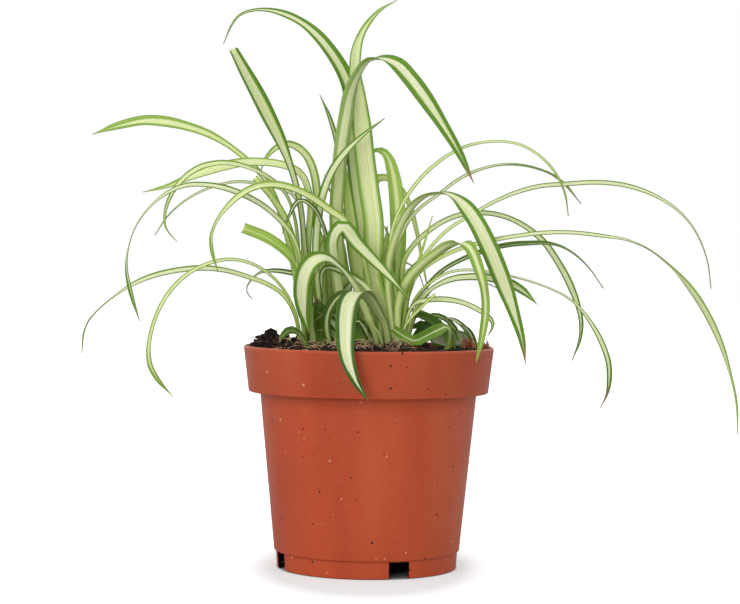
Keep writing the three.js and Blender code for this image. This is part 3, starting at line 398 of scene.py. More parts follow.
@dataclass(frozen=True)
class PotFinish:
    """Terracotta-coloured polypropylene, injection moulded: satin, with a faint flow and specks of soil."""

    name: str = "moulded_polypropylene"
    body: str = "#BC4F2C"
    deep: str = "#B14625"
    bright: str = "#C45A36"
    # Painted shade: collar_shade darkens the collar from the heights collar_m up.
    collar_shade: float = 0.88
    collar_m: Pair = (0.0835, 0.0855)
    soil: str = "#3E1B12"
    grain: str = "#D99A80"
    grain_share: float = 0.025
    # Painted shade for the inside of the foot ring, where shade falls under the pot.
    foot_shade: str = "#1C0F0B"
    foot_inside_m: float = 0.0424
    foot_top_m: float = 0.0082
    dust: str = "#CF957C"
    # One cell of 2.5 mm holds at most one speck, of 0.09 to 0.26 cells in radius.
    speck_mm: float = 2.5
    speck_range: float = 0.17
    speck_least: float = 0.09
    # Share of the cells with a dark speck, at two heights.
    speck_heights_m: Pair = (0.01, 0.1)
    speck_shares: Pair = (0.03, 0.16)
    # Noise cells to a metre: 34 is about 29 mm, 55 is 18 mm, 420 is 2.4 mm and 900 is 1.1 mm.
    flow: float = 34.0
    flow_stretch: Place = (1.0, 1.0, 0.18)
    patch: float = 55.0
    film: float = 420.0
    peel: float = 900.0
    relief_m: float = 0.0004

    def make(self) -> Material:
        """Builds the finish on Object coordinates, with more specks up the body and on the collar.

        Returns:
            The material.
        """
        tree = Shading(self.name, IOR=1.49, Specular_IOR_Level=0.3)
        place = tree.place()
        height = tree.add("SeparateXYZ", {"Vector": place}).outputs["Z"]
        flow = tree.noise(tree.scaled(place, self.flow_stretch), self.flow, 4.0)
        patch = tree.noise(place, self.patch, 2.0)
        colour = tree.ramp(flow, (0.3, self.deep), (0.5, self.body), (0.72, self.bright))
        scale = 1 / (self.speck_mm * MM)
        cells = tree.add("TexVoronoi", {"Vector": place, "Scale": scale, "Randomness": 1.0})
        chance = tree.add("SeparateColor", {"Color": cells.outputs["Color"]}).outputs
        common = tree.mapped(height, *self.speck_heights_m, self.speck_shares)
        common = tree.math("MULTIPLY", common, tree.ramp(patch, (0.42, 0.25), (0.62, 1.5)))
        chosen = tree.math("LESS_THAN", chance["Red"], common)
        size = tree.math("MULTIPLY_ADD", chance["Green"], self.speck_range, self.speck_least)
        close = tree.math("LESS_THAN", cells.outputs["Distance"], size)
        speck = tree.math("MULTIPLY", chosen, close)
        colour = tree.mix(speck, colour, self.soil)
        # A few pale grains stick among the dark ones.
        light = tree.math("GREATER_THAN", chance["Blue"], 1 - self.grain_share)
        colour = tree.mix(tree.math("MULTIPLY", light, close), colour, self.grain)
        film = tree.ramp(tree.noise(place, self.film, 5.0), (0.56, 0.0), (0.8, 0.09))
        colour = tree.mix(film, colour, self.dust)
        # Painted shade: the collar is painted a touch darker than the body.
        collar = tree.mapped(height, *self.collar_m)
        colour = tree.mix(collar, colour, grey(self.collar_shade), "MULTIPLY")
        # Painted shade: the inside of the foot ring, under the pot and seen through the drain notches, is
        # painted near black.
        out = tree.length(tree.scaled(place, (1.0, 1.0, 0.0)))
        inside = tree.math("LESS_THAN", out, self.foot_inside_m)
        shaded_foot = tree.math("MULTIPLY", inside, tree.math("LESS_THAN", height, self.foot_top_m))
        colour = tree.mix(shaded_foot, colour, self.foot_shade)
        tree.feed(Base_Color=colour, Roughness=tree.ramp(patch, (0.3, 0.33), (0.7, 0.45)))
        peel = tree.noise(place, self.peel, 2.0)
        tree.bump(tree.math("MULTIPLY_ADD", speck, 0.8, peel), 0.1, self.relief_m)
        return tree.material


@dataclass(frozen=True)
class EarthFinish:
    """Moist peat: rough, dark and matt. The tone attribute picks the shade of each crumb or fibre."""

    name: str
    dark: str
    light: str
    roughness: float = 0.92
    grain_mm: float = 1.6
    relief_m: float = 0.0006

    def make(self) -> Material:
        """Builds the finish from the piece's tone attribute and a grain on Object coordinates.

        Returns:
            The material.
        """
        tree = Shading(self.name, IOR=1.4, Roughness=self.roughness)
        grain = tree.noise(tree.place(), 1 / (self.grain_mm * MM), 5.0)
        shade = tree.math("MULTIPLY_ADD", grain, 0.6, tree.attribute("tone"))
        tree.feed(Base_Color=tree.ramp(shade, (0.2, self.dark), (1.0, self.light)))
        tree.bump(grain, 0.7, self.relief_m)
        return tree.material


@dataclass
class Leaf:
    """One strap leaf, drawn finer over its CAD solid.

    The solid is a run of rings of six points. Each ring gives the blade's left edge, middle and right edge,
    and smooth curves through them carry a finer section: the fold is rounded, the blade thins towards its
    edges, and the margin ripples a little. Lengths are in metres.
    """

    node: str
    # Half width of the cream band, where 1 is the blade's edge.
    cream: float = 0.46
    tone: Tone = Tone.GREEN
    dry_tip: float = 0.003
    cut: bool = False
    seed: int = 0
    # The band's greatest half width low on the leaf, and how much wider than the rest it may be there.
    low_band: float = 0.64
    low_extra: float = 0.2
    # Share of its length that shows its paler side to the viewer, and how pale that is. The paler side's
    # colour is partly painted light, for light that shines through the blade.
    turned: float = 0.0
    turn_blend: float = 0.05
    paler_back: float = 0.5
    paler_under: float = 0.32
    paler_young: float = 0.1
    # The pattern's shift from leaf to leaf, the spread of the tones, and the waves of the dry tip's border.
    pattern_shift: float = 0.37
    tone_spread: float = 0.12
    tip_waves: Pair = (0.25, 5.0)
    columns: int = 9
    least_rows: int = 12
    row_step: float = 0.0022
    half_thick: float = 0.00024
    edge_thinning: float = 0.6
    fold_power: float = 1.3
    point: float = 0.009
    # The ripple's height, its two wave lengths over 2 pi, and the half width from which it is full.
    ripple: float = 0.00022
    waves: Pair = (0.0065, 0.019)
    rippled_half: float = 0.003
    ragged: Pair = (-0.0007, 0.0002)
    # Where the look changes, as shares of the length: a cut end frays, the low band narrows, the band ends
    # and the cream turns white. The brown fades out over shares of the dry tip.
    frays: Pair = (0.985, 1.0)
    narrows: Pair = (0.25, 0.6)
    ends: Pair = (0.8, 1.0)
    whitens: Pair = (0.12, 0.45)
    dries: Pair = (0.45, 1.0)
    pale_foot: Pair = (0.004, 0.035)
    pale_share: float = 0.22
    # In the CAD solid, points nearer than weld are one, a cap is flat within flatness, and a root stands
    # within mouth of the pot's axis.
    # A ring less than round_ratio times as wide as thick keeps the width of the ring before it.
    weld: float = 0.002 * MM
    round_ratio: float = 1.6
    flatness: float = 0.05 * MM
    mouth: float = 0.055

    def rings(self) -> Array:
        """Reads the CAD solid's rings, from the root to the tip.

        Returns:
            Array of rings by (left edge, middle, right edge) by 3.
        """
        mesh = frame["nodes"][self.node].data
        raw = np.empty(len(mesh.vertices) * 3, np.float32)
        mesh.vertices.foreach_get("co", raw)
        corners = np.empty(len(mesh.loops), np.int32)
        mesh.loops.foreach_get("vertex_index", corners)
        loose = raw.reshape(-1, 3).astype(float)
        keys = np.round(loose / self.weld).astype(np.int64)
        _, first, number = np.unique(keys, axis=0, return_index=True, return_inverse=True)
        points = loose[first]
        triangles = number.reshape(-1)[corners].reshape(-1, 3)
        joined = np.zeros((len(points), len(points)), bool)
        for a, b in ((0, 1), (1, 2), (2, 0)):
            joined[triangles[:, a], triangles[:, b]] = True
            joined[triangles[:, b], triangles[:, a]] = True
        corner = points[triangles]
        normal = unit(np.cross(corner[:, 1] - corner[:, 0], corner[:, 2] - corner[:, 0]))
        level = (normal * corner.mean(axis=1)).sum(axis=1)
        # The root is the lowest point within the pot's mouth, and its cap is flat.
        inside = np.hypot(points[:, 0], points[:, 1]) < self.mouth
        foot = np.where(inside, points[:, 2], 1.0).argmin()
        for flat in np.flatnonzero((triangles == foot).any(axis=1)):
            cap = (normal @ normal[flat] > 0.999) & (np.abs(level - level[flat]) < self.flatness)
            rings = self.walk(np.unique(triangles[cap]), joined)
            if all(len(ring) == 6 for ring in rings):
                return self.sorted_rings(points[np.array(rings)])
        raise ValueError(f"{self.node} isn't a run of rings of six points")

    @staticmethod
    def walk(start: Array, joined: Array) -> list[Array]:
        """Walks from ring to ring over the edges.

        Args:
            start: point numbers of the root ring.
            joined: which points share an edge.

        Returns:
            The point numbers of each ring.
        """
        left = np.ones(len(joined), bool)
        ring = np.zeros(len(joined), bool)
        ring[start] = True
        rings = []
        while ring.any():
            rings.append(np.flatnonzero(ring))
            left &= ~ring
            ring = joined[ring].any(axis=0) & left
        return rings

    def sorted_rings(self, rings: Array) -> Array:
        """Finds left, middle and right in each ring of six loose points.

        Args:
            rings: n by 6 by 3.

        Returns:
            n by 3 by 3, with the hollow of the fold always on the same side.
        """
        trios = []
        before = None
        for ring in rings:
            spread = ring - ring.mean(axis=0)
            _, sizes, axes = np.linalg.svd(spread)
            across = axes[0]
            if before is not None:
                if sizes[0] < self.round_ratio * sizes[1]:
                    across = before
                across = across * (1 if across @ before >= 0 else -1)
            trio = ring[np.argsort(spread @ across)].reshape(3, 2, 3).mean(axis=1)
            trios.append(trio)
            before = unit(trio[2] - trio[0])
        return np.array(trios)

    def attributes(self, run: Array, shares: Array) -> dict[str, Array]:
        """Numbers that the leaf finish reads.

        Args:
            run: metres from the root, one for each row, up to the leaf's length.
            shares: -1 to 1 across the blade, one for each column.

        Returns:
            The attributes for one face of the blade, as rows by columns.
        """
        rng = np.random.default_rng(self.seed)
        rows, columns = np.meshgrid(run, shares, indexing="ij")
        share = rows / run[-1]
        low = min(self.low_band, self.cream + self.low_extra)
        band = low + (self.cream - low) * smooth_step(*self.narrows, share)
        if not self.cut:
            band = band * (1 - smooth_step(*self.ends, share))
        high, waves = self.tip_waves
        end = self.dry_tip * (1 + high * np.sin(columns * waves + self.seed))
        pale = 0.0 if self.tone is Tone.DARK else self.pale_share
        return {
            "across": columns,
            "run": rows + self.seed * self.pattern_shift,
            "far": smooth_step(*self.whitens, share),
            "cream": band,
            "tone": np.full_like(rows, self.tone.value + self.tone_spread * rng.random()),
            "pale": pale * (1 - smooth_step(*self.pale_foot, rows)),
            "dry": (1 - smooth_step(*self.dries, (run[-1] - rows) / end)) * (not self.cut),
        }

    def surface(self) -> tuple[Array, Array, Array, Array]:
        """The blade's middle surface, with its fold, point and ripples, and the ragged end of a cut leaf.

        Returns:
            Metres from the root to each row, then points, unit normals and the fold's lift, each as rows by
            columns by 3.
        """
        trios = self.rings()
        places = distance_along(trios[:, 1])
        length = places[-1]
        run = np.linspace(0, length, max(self.least_rows, int(length / self.row_step)))
        left, middle, right = (curve_through(trios[:, k], places, run) for k in range(3))
        s = np.linspace(-1, 1, self.columns)[None, :, None]
        half, lift = (right - left)[:, None] / 2, ((right + left) / 2 - middle)[:, None]
        point = 1.0
        if not self.cut:
            point = np.sqrt(np.clip((length - run) / self.point, 0.02, 1))[:, None, None]
        points = middle[:, None] + s * half * point + np.abs(s) ** self.fold_power * lift * point
        along = np.gradient(middle, run, axis=0)[:, None]
        normal = unit(np.cross(along, half))
        short, long = (run[:, None, None] / wave for wave in self.waves)
        ripple = self.ripple * np.sin(short + self.seed) * np.sin(long + 2)
        wide = np.linalg.norm(half, axis=2, keepdims=True) / self.rippled_half
        points = points + normal * ripple * s**2 * np.minimum(wide**2, 1.4)
        if self.cut:
            ragged = np.random.default_rng(self.seed).uniform(*self.ragged, self.columns)[None, :, None]
            points = points + unit(along) * ragged * smooth_step(*self.frays, run / length)[:, None, None]
        return run, points, normal, lift

    def build(self, material: Material) -> bpy.types.Object:
        """Makes the blade, as a closed sheet around its middle surface.

        Args:
            material: the leaf finish.

        Returns:
            The piece.
        """
        run, surface, normal, lift = self.surface()
        shares = np.linspace(-1, 1, self.columns)
        thick = self.half_thick * (1 - self.edge_thinning * shares**2)[None, :, None]
        top, below = surface + normal * thick, surface - normal * thick
        ring = np.concatenate([top, below[:, ::-1]], axis=1)
        rows, columns = ring.shape[:2]
        cap = np.arange(self.columns - 1)
        quads = np.stack([cap, cap + 1, columns - 2 - cap, columns - 1 - cap], -1)
        end = (rows - 1) * columns + quads[:, ::-1]
        faces = np.concatenate([grid_faces(rows, columns)[:, ::-1], quads, end])
        values = self.attributes(run, shares)
        both = {key: np.concatenate([v, v[:, ::-1]], axis=1).reshape(-1) for key, v in values.items()}
        # The hollow of the fold is the blade's upper face. A leaf that rises with its back to the viewer
        # shows its paler side up to the bend, partly painted light for light shining through the blade.
        hollow_on_top = float((normal * lift).sum()) > 0
        pale = self.paler_young if self.tone is Tone.PALE else self.paler_under
        paler = np.full((rows, self.columns), pale)
        bend = self.turned - self.turn_blend, self.turned + self.turn_blend
        back = self.paler_back * (1 - smooth_step(*bend, run / run[-1]))
        back = np.repeat(back[:, None], self.columns, axis=1)
        both["under"] = np.concatenate([back, paler] if hollow_on_top else [paler, back], axis=1).reshape(-1)
        return make_piece(self.node + "_blade", ring.reshape(-1, 3), faces, material, both)

    def slot(self) -> str:
        """The record's material slot of this leaf."""
        return next(row["material_slot"] for row in frame["record"]["subparts"] if row["node"] == self.node)


@dataclass
class RouteBlade(Leaf):
    """A short leaf on a route of its own, for small leaves low in the clumps that the CAD model leaves out.

    A route point is across, up and depth in mm, read on the plane through the pot's axis as the camera sees
    it. The blade is width mm wide and turned by facing degrees from lying flat.
    """

    route: tuple[Place, ...] = ()
    width: float = 3.0
    facing: float = 45.0
    record_slot: str = "leaf_green"
    fold: float = 0.35
    stations: int = 12
    eye: Place = (0.0, -1000.0, 150.0)

    def rings(self) -> Array:
        """Left edge, middle and right edge along the route.

        Returns:
            Array of rings by 3 by 3, in metres.
        """
        route, eye = np.array(self.route), np.array(self.eye)
        flat = np.stack([route[:, 0], np.zeros(len(route)), route[:, 1]], -1)
        knots = eye + (flat - eye) * ((route[:, 2] - eye[1]) / -eye[1])[:, None]
        places = distance_along(knots)
        wanted = np.linspace(0, places[-1], self.stations)
        middle = curve_through(knots, places, wanted)
        along = np.gradient(middle, wanted, axis=0)
        turn = math.radians(self.facing)
        across = unit(np.cross(along, np.array([0, -math.sin(turn), math.cos(turn)])))
        normal = unit(np.cross(across, along))
        share = wanted / places[-1]
        # Widest halfway, and narrowing to a quarter over the last quarter.
        half = self.width / 2 * (0.6 + 0.4 * np.sin(np.pi * share)) * np.clip((1 - share) * 3 + 0.25, 0, 1)
        lift = normal * (half * self.fold)[:, None]
        side = across * half[:, None]
        return np.stack([middle - side + lift, middle, middle + side + lift], 1) * MM

    def slot(self) -> str:
        """The record's material slot of this leaf."""
        return self.record_slot


def by_node(clumps: dict[str, dict[int, float]]) -> dict[str, float]:
    """Values by leaf number in each clump, as values by node."""
    return {f"leaf_{clump}_{number:02d}": v for clump, row in clumps.items() for number, v in row.items()}


def nodes_of(**clumps: tuple[int, ...]) -> tuple[str, ...]:
    """The nodes of the leaves with these numbers in each clump."""
    return tuple(f"leaf_{clump}_{number:02d}" for clump, numbers in clumps.items() for number in numbers)


@dataclass
class Foliage:
    """All the leaves, with what sets some of them apart in the photograph.

    A row of fillers is a small leaf low in the clumps: cream, tone, width and facing, then its route.
    """

    finish: LeafFinish = field(default_factory=LeafFinish)
    cream_widths: dict[str, float] = field(default_factory=lambda: by_node({
        "left": {1: 0.54, 2: 0.5, 3: 0.78, 10: 0.2, 15: 0.2, 16: 0.05},
        "middle": {1: 0.75, 2: 0.4, 3: 0.42, 6: 0.4, 9: 0.58, 10: 0.56, 11: 0.4, 12: 0.2},
        "right": {5: 0.56, 6: 0.08, 7: 0.56, 8: 0.34, 12: 0.2, 13: 0.6, 17: 0.08},
        "inner": {1: 0.8, 2: 0.8, 3: 0.8, 4: 0.2},
    }))
    usual_cream: float = 0.58
    dark_cream: float = 0.3
    dry_tips: dict[str, float] = field(default_factory=lambda: by_node({
        "left": {6: 0.005, 10: 0.003},
        "middle": {2: 0.009},
        "right": {3: 0.006, 7: 0.01, 9: 0.012, 14: 0.012},
    }))
    usual_tip: float = 0.0025
    turned: dict[str, float] = field(default_factory=lambda: by_node({"middle": {8: 0.46, 10: 0.4, 11: 0.5}}))
    cut: tuple[str, ...] = nodes_of(left=(1, 10, 13), right=(16, 17, 19))
    # Painted shade: these leaves are painted dark, for the clump's shade on them.
    dark: tuple[str, ...] = nodes_of(right=(6, 14, 18), middle=(7, 9), left=(11, 14, 16), inner=(4,))
    soft: tuple[str, ...] = nodes_of(left=(2, 3, 4, 7, 9, 12), right=(1, 8), middle=(1,))
    young: tuple[str, ...] = nodes_of(middle=(6,), left=(10,))
    # Painted shade: the DARK fillers are deep green leaves low in the clumps, which also stand for the shade
    # there.
    fillers: tuple[tuple[Any, ...], ...] = (
        (0.2, Tone.DARK, 5.5, 60, (-6, 103, 0), (-12, 116, -4), (-20, 121.5, -7), (-27, 117, -8)),
        (0.5, Tone.DARK, 5, 50, (-9, 103, -2), (-14, 112, -6), (-20, 119, -9), (-25, 122, -10)),
        (0.4, Tone.GREEN, 6.5, 70, (-1, 103, -1), (-5, 114, -3), (-11, 123, -4), (-17, 131, -5)),
        (0.3, Tone.DARK, 4, 50, (3, 103, -4), (-1, 112, -8), (-6, 118, -10), (-9.5, 114, -12)),
        (-0.1, Tone.DARK, 5, 60, (41, 103, 4), (37, 112, 4), (31, 118, 3), (23, 121, 2), (17, 118, 2)),
        (-0.1, Tone.DARK, 6, 70, (35, 103, 8), (31, 111, 8), (25, 116, 8), (18, 114, 8)),
        (0.1, Tone.DARK, 3.2, 50, (45, 103, 6), (42, 113, 6), (36, 119.5, 5), (29, 121, 5), (24, 118, 5)),
        (-0.1, Tone.DARK, 6, 75, (20, 103, 6), (24, 111, 6), (29, 117, 6), (33, 121, 6)),
        (0.8, Tone.PALE, 8, 75, (-9, 103, 12), (-12, 130, 15), (-15, 150, 16), (-18, 172, 16)),
        (0.8, Tone.PALE, 7, 70, (-21, 103, 10), (-23, 125, 12), (-24, 140, 12), (-22, 160, 12)),
        (0.7, Tone.GREEN, 6.5, 70, (12, 103, 12), (15, 125, 14), (20, 140, 15), (27, 152, 16)),
        (0.8, Tone.PALE, 8, 75, (5, 103, 14), (4, 130, 16), (3, 150, 17), (0, 172, 17)),
        (0.7, Tone.PALE, 6, 65, (-29, 103, 6), (-31, 122, 8), (-34, 138, 9), (-39, 152, 10)),
        (0.5, Tone.GREEN, 6, 70, (-16, 103, 3), (-15, 116, 4), (-12, 130, 4), (-6, 141, 4)),
        (0.3, Tone.DARK, 6.5, 75, (-20, 103, 5), (-18, 114, 5), (-16, 124, 5), (-15, 134, 6)),
        (-0.1, Tone.DARK, 6.5, 75, (-13, 103, -5), (-17, 112, -5), (-21, 121, -4), (-25, 129, -3)),
        (0.1, Tone.GREEN, 5.5, 65, (-9, 103, -7), (-14, 110, -8), (-20, 114, -8), (-25, 113, -8)),
        (-0.1, Tone.DARK, 7, 80, (-22, 103, -2), (-23, 112, -2), (-24, 121, -2), (-26, 130, -2)),
        (-0.1, Tone.DARK, 6, 80, (-1, 103, -8), (-4, 110, -8), (-7, 117, -8), (-8, 126, -8)),
        (0.0, Tone.DARK, 6, 75, (-30, 103, 1), (-29, 112, 1), (-27, 121, 2), (-22, 131, 2)),
    )
    first_filler_seed: int = 100
    least_cream: float = 0.1

    def tones(self) -> dict[str, Tone]:
        """The leaves that aren't plain green, by node.

        Returns:
            Their tones: pale where the record's slot says so, and as the photograph shows for the rest.
        """
        rows = frame["record"]["subparts"]
        tones = {row["node"]: Tone.PALE for row in rows if row["material_slot"] == "leaf_pale"}
        for names, tone in ((self.dark, Tone.DARK), (self.soft, Tone.SOFT), (self.young, Tone.PALE)):
            tones |= dict.fromkeys(names, tone)
        return tones

    def build(self) -> Material:
        """Makes each leaf in the order of its node's name, then the small low leaves.

        Returns:
            The leaf finish.
        """
        material = self.finish.make()
        tones = self.tones()
        names = sorted(name for name in frame["nodes"] if name.startswith("leaf_"))
        for seed, name in enumerate(names):
            tone = tones.get(name, Tone.GREEN)
            usual = self.dark_cream if tone is Tone.DARK else self.usual_cream
            tip = self.dry_tips.get(name, self.usual_tip)
            leaf = Leaf(name, self.cream_widths.get(name, usual), tone, tip, name in self.cut, seed,
                        turned=self.turned.get(name, 0.0))
            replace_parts(leaf.build(material), name)
        for number, (cream, tone, width, facing, *route) in enumerate(self.fillers):
            # A leaf with next to no cream has none at its base either.
            low = cream if cream <= self.least_cream else Leaf.low_band
            RouteBlade(f"low_leaf_{number + 1:02d}", cream, tone, seed=self.first_filler_seed + number,
                       low_band=low, route=tuple(route), width=width, facing=facing).build(material)
        return material


@dataclass
class Earth:
    """The soil's surface: crumbs, peat fibres, fine roots and a few pale grains over the CAD soil."""

    crumbs: int = 3000
    heaped: int = 260
    grains: int = 16
    grain_mm: Pair = (0.5, 1.1)
    fibres: int = 760
    slivers: int = 110
    roots: tuple[int, int] = (50, 70)
    # Radius of the soil, and the share of it over which grains and fibres lie.
    reach: float = 57.4 * MM
    grain_reach: float = 0.93
    fibre_reach: float = 0.86
    lowest: float = 102.5 * MM
    seed: int = 7
    # A clod's stretch along each axis and the distance of its corners, in radii.
    stretch: Pair = (0.5, 2.1)
    stretch_spread: float = 0.34
    rough: Pair = (0.66, 1.3)
    # A thread's stations, its turn from one to the next in radians, and how much thinner it ends.
    stations: int = 8
    wander: float = 0.32
    taper: float = 0.6
    full_turn: float = 6.3
    tree: BVHTree | None = None

    def height(self, x: Array, y: Array) -> Array:
        """Height of the CAD soil under each place, read by rays from above.

        Args:
            x: places across.
            y: places in depth.

        Returns:
            Heights in metres.
        """
        if self.tree is None:
            mesh = frame["nodes"]["soil"].data
            self.tree = BVHTree.FromPolygons([v.co[:] for v in mesh.vertices],
                                             [p.vertices[:] for p in mesh.polygons])
        hits = [self.tree.ray_cast((a, b, 0.2), (0, 0, -1))[0] for a, b in zip(x, y)]
        return np.maximum([hit.z if hit is not None else 0.0 for hit in hits], self.lowest)

    def laid(self, x: Array, y: Array, lift: float) -> Array:
        """Places on the soil, lift mm over it."""
        return np.stack([x, y, self.height(x, y) + lift * MM], -1)

    def scatter(self, rng: Rng, count: int) -> tuple[Array, Array]:
        """Random places spread evenly over the soil's disc.

        Args:
            rng: the seeded generator.
            count: how many places.

        Returns:
            Their x and y.
        """
        radius = self.reach * np.sqrt(rng.random(count))
        angle = rng.random(count) * 2 * np.pi
        return radius * np.cos(angle), radius * np.sin(angle)

    def patch(self, rng: Rng, count: int, across: Pair, deep: Pair, margin: float) -> tuple[Array, Array]:
        """Random places in a box, without those too near the rim or past it.

        Args:
            rng: the seeded generator.
            count: how many places to draw.
            across: least and greatest x in mm.
            deep: least and greatest y in mm.
            margin: mm to keep from the edge of the soil.

        Returns:
            The x and y of those that are left.
        """
        x, y = rng.uniform(*across, count) * MM, rng.uniform(*deep, count) * MM
        inside = np.hypot(x, y) < self.reach - margin * MM
        return x[inside], y[inside]

    @staticmethod
    def sizes(rng: Rng, count: int, median: float, spread: float, least: float, most: float) -> Array:
        """Random radii in metres around a median, all given in mm."""
        return np.clip(rng.lognormal(math.log(median), spread, count), least, most) * MM

    @staticmethod
    def clod() -> tuple[Array, Array]:
        """Points and faces of an icosahedron of radius 1.

        Returns:
            The twelve points and the twenty faces.
        """
        g = (1 + 5**0.5) / 2
        points = np.array([[-1, g, 0], [1, g, 0], [-1, -g, 0], [1, -g, 0], [0, -1, g], [0, 1, g], [0, -1, -g],
                           [0, 1, -g], [g, 0, -1], [g, 0, 1], [-g, 0, -1], [-g, 0, 1]], float)
        faces = np.array([[0, 11, 5], [0, 5, 1], [0, 1, 7], [0, 7, 10], [0, 10, 11], [1, 5, 9], [5, 11, 4],
                          [11, 10, 2], [10, 7, 6], [7, 1, 8], [3, 9, 4], [3, 4, 2], [3, 2, 6], [3, 6, 8],
                          [3, 8, 9], [4, 9, 5], [2, 4, 11], [6, 2, 10], [8, 6, 7], [9, 8, 1]])
        return points / math.hypot(1, g), faces

    def clods(self, name: str, x: Array, y: Array, size: Array, rng: Rng, material: Material,
              darker: int = 1, stacked: float = 0.5) -> None:
        """Makes one piece of many small lumps that sit part sunk in the soil.

        Args:
            name: the piece's name.
            x: places across.
            y: places in depth.
            size: radius of each lump.
            rng: the seeded generator.
            material: its finish.
            darker: power on the shades, which run from 0 dark to 1 light.
            stacked: the highest that a lump's middle lies over the soil, in radii.
        """
        base, faces = self.clod()
        count = len(x)
        tone = rng.random(count) ** darker
        stretch = np.clip(rng.lognormal(0, self.stretch_spread, (count, 1, 3)), *self.stretch)
        rough = rng.uniform(*self.rough, (count, len(base), 1))
        lift = size * rng.uniform(0.0, stacked, count)
        centre = np.stack([x, y, self.height(x, y) + lift], -1)[:, None]
        points = centre + base[None] * stretch * rough * size[:, None, None]
        make_copies(name, points, faces, tone, material, smooth=False)

    def threads(self, name: str, start: Array, rng: Rng, material: Material, length: Pair, radius: Pair,
                rise: float, darker: int = 1) -> None:
        """Makes one piece of many thin three-sided threads that wander over the soil.

        Each middle line turns by a random walk in heading and rises and falls as half a sine wave.

        Args:
            name: the piece's name.
            start: n by 3 places.
            rng: the seeded generator.
            material: its finish.
            length: least and greatest length in mm.
            radius: least and greatest radius at the thick end, in mm.
            rise: height of the arch as a share of the length.
            darker: power on the shades, which run from 0 dark to 1 light.
        """
        count, stations, sides = len(start), self.stations, 3
        heading = rng.uniform(0, self.full_turn, count)
        lengths, radii = rng.uniform(*length, count) * MM, rng.uniform(*radius, count) * MM
        tone = rng.random(count) ** darker
        turn = np.cumsum(rng.normal(0, self.wander, (count, stations)), axis=1) + heading[:, None]
        t = np.linspace(0, 1, stations)
        step = (lengths / (stations - 1))[:, None]
        x, y = np.cumsum(np.cos(turn) * step, axis=1), np.cumsum(np.sin(turn) * step, axis=1)
        arch = np.sin(np.pi * t)[None] * (lengths * rise * rng.uniform(-0.2, 1, count))[:, None]
        line = start[:, None] + np.stack([x, y, arch], -1)
        angle = 2 * np.pi * np.arange(sides) / sides
        thin = (radii[:, None] * (1 - self.taper * t)[None])[..., None, None]
        normal = np.stack([-np.sin(turn), np.cos(turn), np.zeros_like(turn)], -1)
        upright = np.array([0, 0, 1.0])
        offset = (np.cos(angle)[:, None] * normal[:, :, None] + np.sin(angle)[:, None] * upright) * thin
        tube, last = grid_faces(stations, sides), (stations - 1) * sides
        triangles = np.concatenate([tube[:, [0, 1, 2]], tube[:, [0, 2, 3]], [[0, 2, 1]],
                                    [[last, last + 1, last + 2]]])
        make_copies(name, line[:, :, None] + offset, triangles, tone, material)

    def build(self) -> None:
        """Dresses the CAD soil and lays the crumbs, fibres, roots and grains on it."""
        rng = np.random.default_rng(self.seed)
        peat = EarthFinish("moist_peat", "#0A0504", "#2C1A14").make()
        frame["nodes"]["soil"].data.materials.clear()
        frame["nodes"]["soil"].data.materials.append(peat)
        x, y = self.scatter(rng, self.crumbs)
        size = self.sizes(rng, self.crumbs, median=0.75, spread=0.45, least=0.3, most=2.2)
        inwards = 1 - size / self.reach
        self.clods("soil_crumbs", x * inwards, y * inwards, size, rng, peat, darker=2)
        # The heap of coarser clods at the left.
        x, y = self.patch(rng, self.heaped, across=(-57, -34), deep=(-28, 18), margin=2)
        size = self.sizes(rng, len(x), median=0.95, spread=0.4, least=0.5, most=2.2)
        self.clods("soil_clods", x, y, size, rng, peat, darker=3, stacked=2.0)
        # Perlite: expanded volcanic glass, off white and dusty.
        pale = EarthFinish("perlite_grain", "#B9AFA4", "#E8E2DA", 0.8).make()
        x, y = np.array(self.scatter(rng, self.grains)) * self.grain_reach
        self.clods("pale_grains", x, y, rng.uniform(*self.grain_mm, self.grains) * MM, rng, pale)
        # Coarse moss and sedge fibres, partly rotted.
        x, y = np.array(self.scatter(rng, self.fibres)) * self.fibre_reach
        fibre = EarthFinish("peat_fibre", "#24120C", "#8A5A38").make()
        self.threads("peat_fibres", self.laid(x, y, 0.3), rng, fibre, length=(3, 11), radius=(0.1, 0.24),
                     rise=0.2)
        # Slivers of composted bark by the heap.
        x, y = self.patch(rng, self.slivers, across=(-50, -28), deep=(-36, 0), margin=4)
        sliver = EarthFinish("bark_sliver", "#0E0705", "#5E3A28").make()
        self.threads("bark_slivers", self.laid(x, y, 0.8), rng, sliver, length=(3, 8), radius=(0.25, 0.6),
                     rise=0.35, darker=2)
        # Fine roots bared on the surface: some between the clumps and a fan at the left.
        between, fan = self.roots
        x = np.concatenate([rng.uniform(-8, 14, between), rng.uniform(-36, -16, fan)]) * MM
        y = np.concatenate([rng.uniform(-30, -10, between), rng.uniform(-30, -14, fan)]) * MM
        root = EarthFinish("fine_root", "#A5775A", "#E6C2A2", 0.7).make()
        self.threads("fine_roots", self.laid(x, y, 0.4), rng, root, length=(6, 16), radius=(0.16, 0.38),
                     rise=0.42)


